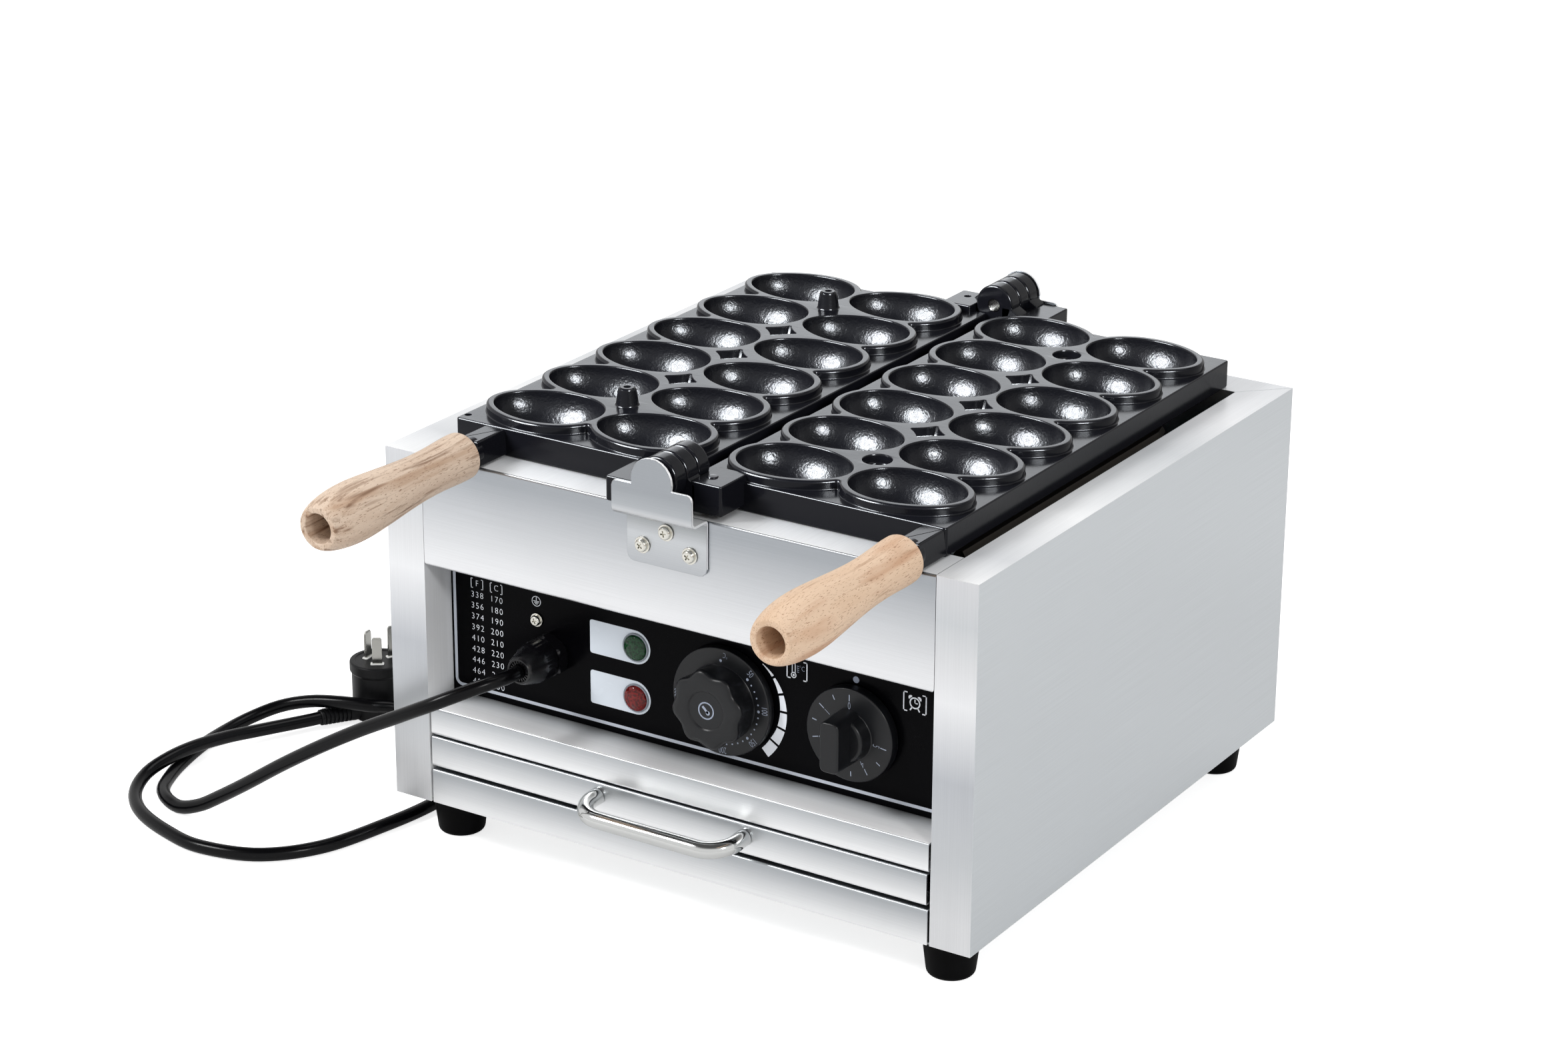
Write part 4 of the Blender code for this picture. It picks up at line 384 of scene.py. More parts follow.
def brushedStainless(name, grain, light, dark, low=None, high=None, axis="Z", bands=None, scatter=0.0):
    material, shader = newMaterial(name, {"Metallic": 1.0 - scatter, "Roughness": steelLook["roughness"]})
    fine, coarse = metre / steelLook["grainWidth"], metre / steelLook["grainLength"]
    scale = tuple(coarse if a == grain else fine for a in "XYZ")
    streaks = addNode(material, "ShaderNodeTexNoise", {"Vector": coordinates(material, scale), "Scale": 1.0,
                                                      "Detail": 2.0}).outputs[0]
    where = addNode(material, "ShaderNodeTexCoord").outputs["Object"]
    # Without low and high, the tone is a random cloud between the two colours. With them, the ramp paints
    # reflection and shade along one axis of the piece, lighter towards low and darker towards high unless bands
    # are given.
    if low is None:
        cloud = addNode(material, "ShaderNodeTexNoise",
                        {"Vector": where, "Scale": 5.0, "Detail": 1.0}).outputs[0]
        place = addNode(material, "ShaderNodeMapRange",
                        {"Value": cloud, "From Min": 0.35, "From Max": 0.65}).outputs[0]
    else:
        split = addNode(material, "ShaderNodeSeparateXYZ", {"Vector": where}).outputs[axis]
        place = addNode(material, "ShaderNodeMapRange",
                        {"Value": split, "From Min": low, "From Max": high}).outputs[0]
    tone = stops(addNode(material, "ShaderNodeValToRGB", {"Fac": place}),
                 [(p, linear(c)) for p, c in bands or ((0.1, light), (0.9, dark))])
    grainTone = stops(addNode(material, "ShaderNodeValToRGB", {"Fac": streaks}),
                      [(0.3, grey(0.94)), (0.7, grey(1.0))])
    colour = addNode(material, "ShaderNodeMix", {0: 1.0, 6: tone.outputs[0], 7: grainTone.outputs[0]},
                     data_type="RGBA", blend_type="MULTIPLY").outputs[2]
    join(material, colour, shader, "Base Color")
    rough = addNode(material, "ShaderNodeMapRange",
                    {"Value": streaks, "To Min": steelLook["roughness"] - 0.04,
                                                     "To Max": steelLook["roughness"] + 0.05}).outputs[0]
    join(material, rough, shader, "Roughness")
    bump = addNode(material, "ShaderNodeBump", {"Height": streaks, "Strength": 0.10, "Distance": 0.00004})
    join(material, bump.outputs[0], shader, "Normal")
    return material


# Cast aluminium with a sprayed and baked PTFE coating: glossy black, smooth on the lands, crinkled in the
# cavities
# last two in mm
coatLook = {"colour": "#030304", "lands": 0.17, "cavities": 0.23, "shine": 0.14, "peel": 1.2, "ripple": 3.0}


def sprayedCoating(name, crinkle, roughness):  # crinkle 1 is the cavities' full texture
    material, shader = newMaterial(name, {"Base Color": linear(coatLook["colour"]), "Roughness": roughness,
                                          "Specular IOR Level": coatLook["shine"]})
    where = addNode(material, "ShaderNodeTexCoord").outputs["Object"]
    peel = addNode(material, "ShaderNodeTexNoise", {"Vector": where, "Scale": metre / coatLook["peel"],
                                                   "Detail": 2.0}).outputs[0]
    ripple = addNode(material, "ShaderNodeTexNoise", {"Vector": where, "Scale": metre / coatLook["ripple"],
                                                     "Detail": 3.0, "Distortion": 0.6}).outputs[0]
    first = addNode(material, "ShaderNodeBump",
                    {"Height": ripple, "Strength": 0.5 * crinkle, "Distance": 0.0004})
    second = addNode(material, "ShaderNodeBump",
                     {"Height": peel, "Strength": 0.5 * crinkle, "Distance": 0.0002,
                                                  "Normal": first.outputs[0]})
    join(material, second.outputs[0], shader, "Normal")
    rough = addNode(material, "ShaderNodeMapRange", {"Value": ripple, "To Min": roughness - 0.04,
                                                     "To Max": roughness + 0.04}).outputs[0]
    join(material, rough, shader, "Roughness")
    return material


# Moulded ABS or nylon: satin black with fine spark-eroded texture
def mouldedPlastic(name, colour, roughness, grit=0.35, depth=0.03, shine=0.2):
    material, shader = newMaterial(name, {"Base Color": linear(colour), "Roughness": roughness,
                                          "Specular IOR Level": shine})
    where = addNode(material, "ShaderNodeTexCoord").outputs["Object"]
    grain = addNode(material, "ShaderNodeTexNoise",
                    {"Vector": where, "Scale": metre / grit, "Detail": 2.0}).outputs[0]
    bump = addNode(material, "ShaderNodeBump", {"Height": grain, "Strength": 0.3, "Distance": depth / metre})
    join(material, bump.outputs[0], shader, "Normal")
    patch = addNode(material, "ShaderNodeTexNoise",
                    {"Vector": where, "Scale": metre / 18, "Detail": 2.0}).outputs[0]
    rough = addNode(material, "ShaderNodeMapRange", {"Value": patch, "To Min": roughness - 0.05,
                                                     "To Max": roughness + 0.06}).outputs[0]
    join(material, rough, shader, "Roughness")
    return material


# Metals that are plated or polished
def platedMetal(name, colour, roughness, mottle=0.05, grit=2.0):
    material, shader = newMaterial(name,
                                   {"Base Color": linear(colour), "Metallic": 1.0, "Roughness": roughness})
    where = addNode(material, "ShaderNodeTexCoord").outputs["Object"]
    patch = addNode(material, "ShaderNodeTexNoise",
                    {"Vector": where, "Scale": metre / grit, "Detail": 3.0}).outputs[0]
    rough = addNode(material, "ShaderNodeMapRange", {"Value": patch, "To Min": max(0.02, roughness - mottle),
                                                     "To Max": roughness + mottle}).outputs[0]
    join(material, rough, shader, "Roughness")
    bump = addNode(material, "ShaderNodeBump", {"Height": patch, "Strength": 0.08, "Distance": 0.00005})
    join(material, bump.outputs[0], shader, "Normal")
    return material


# Screen-printed ink: matt, with the slight unevenness of a squeegee
def printedInk(name, colour, roughness=0.45):
    material, shader = newMaterial(name, {"Base Color": linear(colour), "Roughness": roughness})
    where = addNode(material, "ShaderNodeTexCoord").outputs["Object"]
    patch = addNode(material, "ShaderNodeTexNoise",
                    {"Vector": where, "Scale": metre / 1.2, "Detail": 2.0}).outputs[0]
    rough = addNode(material, "ShaderNodeMapRange", {"Value": patch, "To Min": roughness - 0.08,
                                                     "To Max": roughness + 0.08}).outputs[0]
    join(material, rough, shader, "Roughness")
    return material


# Steamed beech, turned and sanded but not varnished: pale pinkish tan, brown streaks and short dark rays
beechLook = {"roughness": 0.55, "streakWidth": 3.2, "streakLength": 70, "rayWidth": 0.45, "rayLength": 3.5,
             "right": {"pale": "#DFC2A6", "middle": "#D2B192", "tan": "#C79F80", "streak": "#A47C5C",
                       "ray": "#94694A",
                       "streakFrom": 0.62},
             "left": {"pale": "#D8C2AD", "middle": "#C9B09A", "tan": "#B99A80", "streak": "#7E5C42",
                      "ray": "#86634A",
                      "streakFrom": 0.55}}


def turnedBeech(name, seed, tones):
    material, shader = newMaterial(name, {"Roughness": beechLook["roughness"], "IOR": 1.5})
    where = addNode(material, "ShaderNodeTexCoord").outputs["Object"]
    moved = addNode(material, "ShaderNodeVectorMath", {0: where, 1: (seed, seed * 0.7, seed * 1.3)},
                    operation="ADD").outputs[0]

    def stretched(width, length, tilt=0.0):
        return addNode(material, "ShaderNodeMapping",
                       {"Vector": moved, "Scale": (metre / width, metre / length,
                                                                                metre / width),
                                                       "Rotation": (tilt, 0, tilt)}).outputs[0]
    broad = addNode(material, "ShaderNodeTexNoise",
                    {"Vector": stretched(9, 90, 0.06), "Scale": 1.0, "Detail": 3.0,
                                                    "Distortion": 0.4}).outputs[0]
    base = stops(addNode(material, "ShaderNodeValToRGB", {"Fac": broad}),
                 [(0.30, linear(tones["tan"])), (0.48, linear(tones["pale"])),
                  (0.75, linear(tones["middle"]))])
    streak = addNode(material, "ShaderNodeTexNoise", {"Vector": stretched(beechLook["streakWidth"],
                                                      beechLook["streakLength"], 0.05), "Scale": 1.0,
                                                      "Detail": 2.0,
                                                      "Distortion": 0.3}).outputs[0]
    streakMask = stops(addNode(material, "ShaderNodeValToRGB", {"Fac": streak}),
                       [(tones["streakFrom"], grey(0)), (tones["streakFrom"] + 0.16, grey(0.9))])
    ray = addNode(material, "ShaderNodeTexNoise",
                  {"Vector": stretched(beechLook["rayWidth"], beechLook["rayLength"]),
                                                   "Scale": 1.0, "Detail": 1.0}).outputs[0]
    rayMask = stops(addNode(material, "ShaderNodeValToRGB", {"Fac": ray}),
                    [(0.62, grey(0)), (0.70, grey(0.8))])
    withStreaks = addNode(material, "ShaderNodeMix", {0: streakMask.outputs[0], 6: base.outputs[0],
                                                      7: linear(tones["streak"])},
                                                      data_type="RGBA").outputs[2]
    colour = addNode(material, "ShaderNodeMix",
                     {0: rayMask.outputs[0], 6: withStreaks, 7: linear(tones["ray"])},
                     data_type="RGBA").outputs[2]
    join(material, colour, shader, "Base Color")
    bump = addNode(material, "ShaderNodeBump", {"Height": ray, "Strength": 0.15, "Distance": 0.00008})
    join(material, bump.outputs[0], shader, "Normal")
    return material


# Moulded polycarbonate lens over a neon lamp
def lampLens(name, colour, deep):
    material, shader = newMaterial(name, {"Roughness": 0.12, "Coat Weight": 0.2, "Coat Roughness": 0.05,
                                          "Specular IOR Level": 0.25})
    where = addNode(material, "ShaderNodeTexCoord").outputs["Object"]
    cells = addNode(material, "ShaderNodeTexNoise",
                    {"Vector": where, "Scale": metre / 1.3, "Detail": 1.0}).outputs[0]
    tone = stops(addNode(material, "ShaderNodeValToRGB", {"Fac": cells}),
                 [(0.35, linear(deep)), (0.65, linear(colour))])
    join(material, tone.outputs[0], shader, "Base Color")
    bump = addNode(material, "ShaderNodeBump", {"Height": cells, "Strength": 0.2, "Distance": 0.0001})
    join(material, bump.outputs[0], shader, "Normal")
    return material


def galvanised(name):                         # hot-dip zinc on sheet: grey with flat spangles
    material, shader = newMaterial(name, {"Metallic": 1.0, "Roughness": 0.42})
    where = addNode(material, "ShaderNodeTexCoord").outputs["Object"]
    cells = addNode(material, "ShaderNodeTexVoronoi", {"Vector": where, "Scale": metre / 9}).outputs["Color"]
    tone = stops(addNode(material, "ShaderNodeValToRGB", {"Fac": cells}),
                 [(0.2, linear("#8F9496")), (0.8, linear("#B4B8BA"))])
    join(material, tone.outputs[0], shader, "Base Color")
    return material


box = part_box
# Front sheets: painted reflection and shade, lighter at the bottom and darker at the top of each sheet.
paintedShadeFrontSteel = {}
for key, node in (("fascia", "front_fascia"), ("sill", "sill_rail"), ("drawer", "drawer_front"),
                  ("base", "base_rail")):
    low, high = box(node)
    tone = ("fasciaPaintedSheen", "fasciaPaintedShade") if key == "fascia" else ("light", "dark")
    paintedShadeFrontSteel[key] = brushedStainless("brushed_stainless_" + key, "X", steelLook[tone[0]],
                                       steelLook[tone[1]],
                                       low.z, high.z)
sideSteel = brushedStainless("brushed_stainless_sides", "Y", steelLook["side"], steelLook["side"])
low, high = box("hinge_bracket_front")
# Brackets: painted shade and highlight up their height, a shaded band at the top of the lower plate and a bright
# line at the foot of the upper one.
paintedShadeBracketBands = ((0.0, "#B8BBBF"), (0.25, "#C9CCCF"), (0.44, "#8E9193"), (0.475, "#DFE0E2"), (0.56, "#B2B6BA"),
                (0.70, "#A2A6AB"),
                (1.0, "#A4A8AD"))
paintedShadeBracketSteel = brushedStainless("brushed_stainless_bracket_painted_shade", "X", "", "", low.z, high.z, bands=paintedShadeBracketBands)
# Painted highlight: near-white, partly diffuse steel for the bracket faces that look up.
paintedHighlightEdgeSteel = brushedStainless("stainless_edge_painted_highlight", "X", "#FAFBFC", "#F2F3F4", scatter=0.6)
coating = sprayedCoating("ptfe_coating_smooth", 0.15, coatLook["lands"])
cavityCoating = sprayedCoating("ptfe_coating_crinkled", 1.0, coatLook["cavities"])
blackAbs = mouldedPlastic("abs_black_moulded", "#111215", 0.32, shine=0.35)
blackNylon = mouldedPlastic("nylon_black_moulded", "#0B0B0E", 0.24, grit=0.6, shine=0.5)
panelFilm = mouldedPlastic("polycarbonate_film_black", "#040406", 0.22, grit=0.8, depth=0.004, shine=0.04)
labelFilm = mouldedPlastic("polycarbonate_film_white", "#E4ECF5", 0.25, grit=0.8, depth=0.004)
footRubber = mouldedPlastic("rubber_black_moulded", "#060607", 0.50, grit=0.5, shine=0.06)
cordPvc = mouldedPlastic("pvc_cord_black", "#060608", 0.22, grit=0.7, depth=0.015, shine=0.16)
plugPvc = mouldedPlastic("pvc_plug_black", "#0D0D0F", 0.40, grit=0.5)
collarNylon = mouldedPlastic("nylon_white_moulded", "#E9E9E6", 0.45)
greyRim = mouldedPlastic("abs_grey_moulded", "#8F959E", 0.35)
whiteInk = printedInk("screen_ink_white", "#F1F5FC")
silverInk = printedInk("screen_ink_silver", "#C9CFDA", 0.35)
greyInk = printedInk("screen_ink_grey", "#9AA3B5", 0.5)
beechRight = turnedBeech("beech_turned_right", 0.31, beechLook["right"])
beechLeft = turnedBeech("beech_turned_left", 1.74, beechLook["left"])
chrome = platedMetal("steel_chrome_plated", "#CFD0CF", 0.11, 0.03)
screwZinc = platedMetal("steel_nickel_plated", "#D8D6CE", 0.18, 0.06)
pinNickel = platedMetal("brass_nickel_plated", "#B4B3AE", 0.20, 0.05)
heaterSteel = platedMetal("heater_tube_oxidised", "#5B5650", 0.48, 0.08)
zincSheet = galvanised("steel_hot_dip_galvanised")
greenLens = lampLens("polycarbonate_lens_green", "#1D4A2B", "#0D2A17")
redLens = lampLens("polycarbonate_lens_red", "#861C1A", "#4A0C0B")
print("finishes made")

carried = {zincSheet: ["deck_plate", "heat_partition", "drawer_runner_left", "drawer_runner_right",
                       "element_rack",
                       "bottom_pan", "thermostat_body", "timer_body"],
           heaterSteel: ["heating_element_left", "heating_element_right"],
           screwZinc: ["pivot_pin_front", "pivot_pin_rear", "handle_bolt_left", "handle_bolt_right",
                       "thermostat_shaft",
                       "timer_shaft", "thermostat_bulb", "bracket_screw_rear_left",
                       "bracket_screw_rear_right",
                       "bracket_screw_rear_top", "bracket_screw_front_left", "bracket_screw_front_right",
                       "bracket_screw_front_top", "ground_screw"],
           blackNylon: ["terminal_block", "cable_gland", "gland_nut"], panelFilm: ["control_panel"],
           blackAbs: ["thermostat_knob", "timer_knob"],
           chrome: ["drawer_handle", "handle_nut_left", "handle_nut_right"],
           coating: ["plate_left", "plate_right"], beechRight: ["handle_grip_right"],
           beechLeft: ["handle_grip_left"],
           greenLens: ["power_lamp"], redLens: ["heat_lamp"],
           footRubber: ["foot_front_left", "foot_front_right", "foot_rear_left", "foot_rear_right"],
           plugPvc: ["plug_body"], pinNickel: ["plug_pin_live", "plug_pin_neutral", "plug_pin_earth"],
           sideSteel: ["side_panel_left", "side_panel_right", "rear_panel", "drawer_tray"],
           paintedShadeBracketSteel: ["hinge_bracket_front", "hinge_bracket_rear"],
           paintedShadeFrontSteel["fascia"]: ["front_fascia"], paintedShadeFrontSteel["sill"]: ["sill_rail"],
           paintedShadeFrontSteel["drawer"]: ["drawer_front"], paintedShadeFrontSteel["base"]: ["base_rail"]}
for finish, names in carried.items():
    for name in names:
        for place in nodes[name].material_slots:
            place.material = finish

# Cast plates, in mm in the measuring frame: the right plate's numbers, mirrored for the left one
plateLook = {
    "landTop": 245.45, "slabTop": 239.85, "bottom": 223.0, "inner": 4.5, "outer": 165.5, "front": 23.5,
    "rear": 366.5,
    "corner": 2.4, "edge": 0.9, "skirt": 5.0, "wall": 3.6,
    "rows": (56, 111.6, 167.2, 222.8, 278.4, 334), "columns": (48.5, 122.5),
    "eggLength": 70.4, "eggWidth": 52.0, "eggDepth": 24.8, "blunt": 0.10, "lip": 0.9,
    "landWidth": 4.7, "landRound": 1.7, "landFoot": 0.7, "notch": 5.0,
    "middle": 85.5, "pocketHalf": 12.0, "pocketFloor": 9.6, "pocketDepth": 5.5,
    "pegs": (83.8, 306.2), "pegFoot": 6.8, "pegTip": 5.2, "pegHeight": 11.0, "cup": 8.5, "cupDepth": 12.5,
    "axis": 245.6, "knuckle": 13.0, "knuckleLength": 11.0, "bore": 4.4,
    "bossLeft": -137.5, "bossRight": 157.0, "bossHalf": 8.3,
}


def eggPoint(centre, angle, grow=0.0, share=1.0):
    a, b = (plateLook["eggLength"] / 2 + grow) * share, (plateLook["eggWidth"] / 2 + grow) * share
    x = math.cos(angle)
    return (centre[0] + a * x, centre[1] + b * math.sin(angle) * (1 - plateLook["blunt"] * x))


def eggRing(centre, height, grow=0.0, share=1.0, count=72):
    return [(*eggPoint(centre, 2 * math.pi * i / count, grow, share), height) for i in range(count)]


def meetingAngle(centre, other, clear, inside):       # where one egg's outline enters its neighbour's
    a, b = plateLook["eggLength"] / 2 + plateLook["landWidth"], plateLook["eggWidth"] / 2 + plateLook["landWidth"]
    for _ in range(30):
        middle = (clear + inside) / 2
        point = eggPoint(centre, middle, plateLook["landWidth"])
        x = (point[0] - other[0]) / a
        y = (point[1] - other[1]) / (b * (1 - plateLook["blunt"] * x))
        clear, inside = (middle, inside) if x * x + y * y > 1 else (clear, middle)
    return clear


def landOutline():                            # once round all twelve eggs, with rounded notches between them
    (near, far), rows, land = plateLook["columns"], plateLook["rows"], plateLook["landWidth"]
    eggs = [(far, y) for y in rows] + [(near, y) for y in reversed(rows)]
    trim = plateLook["notch"] / (plateLook["eggLength"] / 2)
    spans = []
    for i, centre in enumerate(eggs):
        mid = 0.0 if centre[0] == far else math.pi
        before, after = eggs[i - 1], eggs[(i + 1) % len(eggs)]
        enter = meetingAngle(centre, before, mid, mid - math.pi / (2 if before[0] == centre[0] else 1))
        leave = meetingAngle(centre, after, mid, mid + math.pi / (2 if after[0] == centre[0] else 1))
        spans.append((centre, enter, leave))
    outline = []
    for i, (centre, enter, leave) in enumerate(spans):
        steps = max(6, round((leave - enter - 2 * trim) / math.radians(4)))
        outline += [eggPoint(centre, enter + trim + (leave - enter - 2 * trim) * k / steps, land)
                    for k in range(steps + 1)]
        after = spans[(i + 1) % len(spans)]
        start, knee = Vector(outline[-1]), Vector(eggPoint(centre, leave, land))
        end = Vector(eggPoint(after[0], after[1] + trim, land))
        for k in range(1, 8):
            t = k / 8
            outline.append(tuple((1 - t) ** 2 * start + 2 * t * (1 - t) * knee + t * t * end))
    return outline


def quarter(radius, steps=4):                 # (inset, drop) pairs from a flat face round to the side wall
    return [(radius * (1 - math.sin(math.pi / 2 * k / steps)),
             radius * (1 - math.cos(math.pi / 2 * k / steps)))
            for k in range(steps + 1)]


def pocketLoop(y, half, bow, height):         # a diamond with sides bowed inward, as the land leaves it
    corners = [(half, 0), (0, half), (-half, 0), (0, -half)]
    ring = []
    for (ax, ay), (bx, by) in zip(corners, corners[1:] + corners[:1]):
        cx, cy = (ax + bx) * bow, (ay + by) * bow
        ring += [((1 - t) ** 2 * ax + 2 * t * (1 - t) * cx + t * t * bx,
                  (1 - t) ** 2 * ay + 2 * t * (1 - t) * cy + t * t * by)
                  for t in (0.08, 0.2, 0.35, 0.5, 0.65, 0.8, 0.92)]
    return [(plateLook["middle"] + x, y + dy, height) for x, dy in ring]


def circleLoop(x, y, radius, height, count=40):
    return [(x + radius * math.cos(2 * math.pi * i / count), y + radius * math.sin(2 * math.pi * i / count),
             height)
            for i in range(count)]


# a rounded slab with round pits in its top
def addCast(shape, outline, low, high, edge, pits=(), matrix=None):
    loops = [[(x, y, low) for x, y in offsetLoop(outline, -edge)]]
    loops += [[(x, y, low + drop) for x, y in offsetLoop(outline, -inset)] for inset, drop in quarter(edge)]
    loops += [[(x, y, high - drop) for x, y in offsetLoop(outline, -inset)] for inset,
              drop in reversed(quarter(edge))]
    addLoft(shape, loops, matrix, capStart=True, capEnd=False)
    flatFill(shape, [v[:2] for v in loops[-1]],
             [[v[:2] for v in circleLoop(x, y, r, 0)] for x, y, r, depth in pits],
             high, matrix)
    for x, y, r, depth in pits:
        addLoft(shape, [circleLoop(x, y, r, high), circleLoop(x, y, r * 0.92, high - 0.4),
                        circleLoop(x, y, r * 0.9, high - depth)], matrix, capStart=False)


def addKnuckle(shape, start, side, single):   # a barrel on the pivot axis with its arm to the plate
    look = plateLook
    r, length, bore, axis = look["knuckle"], look["knuckleLength"], look["bore"], look["axis"]
    ring = filleted([(bore, 0), (r, 0, 1.7), (r, length, 1.7), (bore, length)], 5)
    addTurned(shape, ring, facing(0, start, axis, "back"), 72, closed=True)
    low = 226.0 - axis
    if single:                                # the arm of a lone barrel falls away at 45 degrees
        tip = r * math.sqrt(0.5)
        web = [(side * 3.0, low), (side * 25.5, low, 1.0), (side * 25.0, -5.0, 2.0), (side * tip, tip - 0.1),
               (side * bore * 1.2, tip - 0.4), (side * bore * 1.2, -2.0)]
    else:
        web = [(side * bore * 1.2, low), (side * 18.0, low, 1.0), (side * 18.0, -4.0, 2.0),
               (side * (r - 0.1), -1.0, 2.0),
               (side * (r - 0.2), 0.0), (side * bore * 1.2, 0.0)]
    web = filletedLoop(web, 3)
    if side < 0:
        web = web[::-1]
    addSlab(shape, web, -length, 0, 0.8, facing(0, start, axis, "front"), 2)


def makePlate(name, node, body, side):
    look, shape = plateLook, newShape()
    top, slab, mirror = look["landTop"], look["slabTop"], Matrix.Diagonal((side, 1, 1, 1))
    outline = landOutline()
    wall = [[(x, y, top - drop) for x, y in offsetLoop(outline, -inset)] for inset,
            drop in quarter(look["landRound"], 5)]
    wall += [[(x, y, slab + drop) for x, y in offsetLoop(outline, inset)] for inset,
             drop in reversed(quarter(look["landFoot"]))]
    addLoft(shape, wall, mirror, False, False)

    centres = [(x, y) for x in look["columns"] for y in look["rows"]]
    holes = []
    for centre in centres:
        rings = [eggRing(centre, top - drop, inset) for inset, drop in quarter(look["lip"])]
        for k in range(1, 23):
            angle = math.radians(2.2 + 85 * k / 22)
            rings.append(eggRing(centre, top - look["eggDepth"] * math.sin(angle), 0, math.cos(angle)))
        addLoft(shape, rings, mirror, False, True)
        holes.append([v[:2] for v in rings[0]])
    rows = look["rows"]
    for y in [(a + b) / 2 for a, b in zip(rows, rows[1:])][1:-1]:
        half, floor, depth = look["pocketHalf"], look["pocketFloor"], look["pocketDepth"]
        rings = [pocketLoop(y, half + 0.7, 0.37, top), pocketLoop(y, half + 0.2, 0.37, top - 0.25),
                 pocketLoop(y, half, 0.37, top - 0.8), pocketLoop(y, floor + 0.6, 0.46, top - depth + 0.8),
                 pocketLoop(y, floor, 0.47, top - depth + 0.2), pocketLoop(y, floor - 0.8, 0.48, top - depth)]
        addLoft(shape, rings, mirror, False, True)
        holes.append([v[:2] for v in rings[0]])
    for y in look["pegs"]:
        x = look["middle"]
        if side < 0:
            foot, tip, high = look["pegFoot"], look["pegTip"], look["pegHeight"]
            steps = [(foot + 1.4, 0), (foot + 0.5, 0.2), (foot, 0.9), (tip + 0.3, high - 1.6),
                     (tip - 0.1, high - 0.7),
                     (tip - 1.2, high), (2.4, high), (2.0, high - 0.3), (1.8, high - 1.6)]
        else:
            wide, deep = look["cup"], look["cupDepth"]
            steps = [(wide + 0.9, 0), (wide + 0.3, -0.25), (wide, -0.9), (wide - 0.35, -4.6),
                     (wide - 1.0, -5.0),
                     (wide - 1.3, -5.6), (wide - 1.6, -deep)]
        rings = [circleLoop(x, y, r, top + h) for r, h in steps]
        addLoft(shape, rings, mirror, False, True)
        holes.append([v[:2] for v in rings[0]])
    flatFill(shape, [v[:2] for v in wall[0]], holes, top, mirror)

    frameLoop = box2d(look["inner"], look["outer"], look["front"], look["rear"], look["corner"], 5)
    sides = [[(x, y, slab - drop) for x, y in offsetLoop(frameLoop, -inset)] for inset,
             drop in quarter(look["edge"])]
    sides += [[(x, y, look["bottom"] + drop) for x, y in offsetLoop(frameLoop, -inset)]
              for inset, drop in reversed(quarter(look["edge"]))]
    ceiling = slab - look["skirt"]
    inward = offsetLoop(frameLoop, -look["skirt"] + 0.8)
    sides += [[(x, y, look["bottom"]) for x, y in inward], [(x, y, ceiling) for x, y in inward]]
    addLoft(shape, sides, mirror, False, False)
    pits = [circleLoop(162.1, 31, 2.2, slab), circleLoop(162.1, 31, 1.9, slab - 4)] if side < 0 else []
    if pits:
        addLoft(shape, pits, mirror, False, True)
    flatFill(shape, [v[:2] for v in sides[0]],
             [[v[:2] for v in wall[-1]]] + [[v[:2] for v in pit] for pit in pits[:1]],
             slab, mirror)
    domes = []
    for centre in centres:
        reach = look["eggDepth"] + look["wall"]
        first = math.asin((top - ceiling) / reach)
        angles = [first + (math.radians(87) - first) * k / 12 for k in range(13)]
        rings = [eggRing(centre, top - reach * math.sin(a), look["wall"], math.cos(a), 48) for a in angles]
        addLoft(shape, rings, mirror, False, True)
        domes.append([v[:2] for v in rings[0]])
    for y in look["pegs"] if side > 0 else ():     # bosses below the holes that the pegs enter
        wide, foot = look["cup"] + 1.7, top - look["cupDepth"] - 3.0
        rings = [circleLoop(look["middle"], y, r, h) for r,
                 h in ((wide, ceiling), (wide, foot + 0.8), (wide - 0.8, foot))]
        addLoft(shape, rings, mirror, False, True)
        domes.append([v[:2] for v in rings[0]])
    flatFill(shape, [v[:2] for v in sides[-1]], domes, ceiling, mirror, flip=True)

    # tops of the lugs, high where they carry the lone barrel's neighbours
    tall, low = 244.05, 240.85
    front = (-11, low) if side < 0 else (0.5, tall)
    rear = (389.5, tall) if side < 0 else (401, low)
    addCast(shape, box2d(14.2, 35, front[0], 28.5, 1.6), 226.0, front[1], 0.9, (), mirror)
    addCast(shape, box2d(14.2, 35, 361.5, rear[0], 1.6), 226.0, rear[1], 0.9,
            [(26, 379, 2.4, 3)] if side < 0 else [], mirror)
    if side > 0:                              # half-round mark on the pad of the front lug
        addTurned(shape, filleted([(0, 0), (3.4, 0), (3.0, 0.7, 0.4), (0, 0.9)]),
                  Matrix.Translation((21.5, 12.5, tall)), 32)
    mine = ((12.0, False), (-11.0, False),
            (378.5, True)) if side < 0 else ((0.5, False), (367.0, False), (390.0, False))
    for start, single in mine:
        addKnuckle(shape, start, side, single)

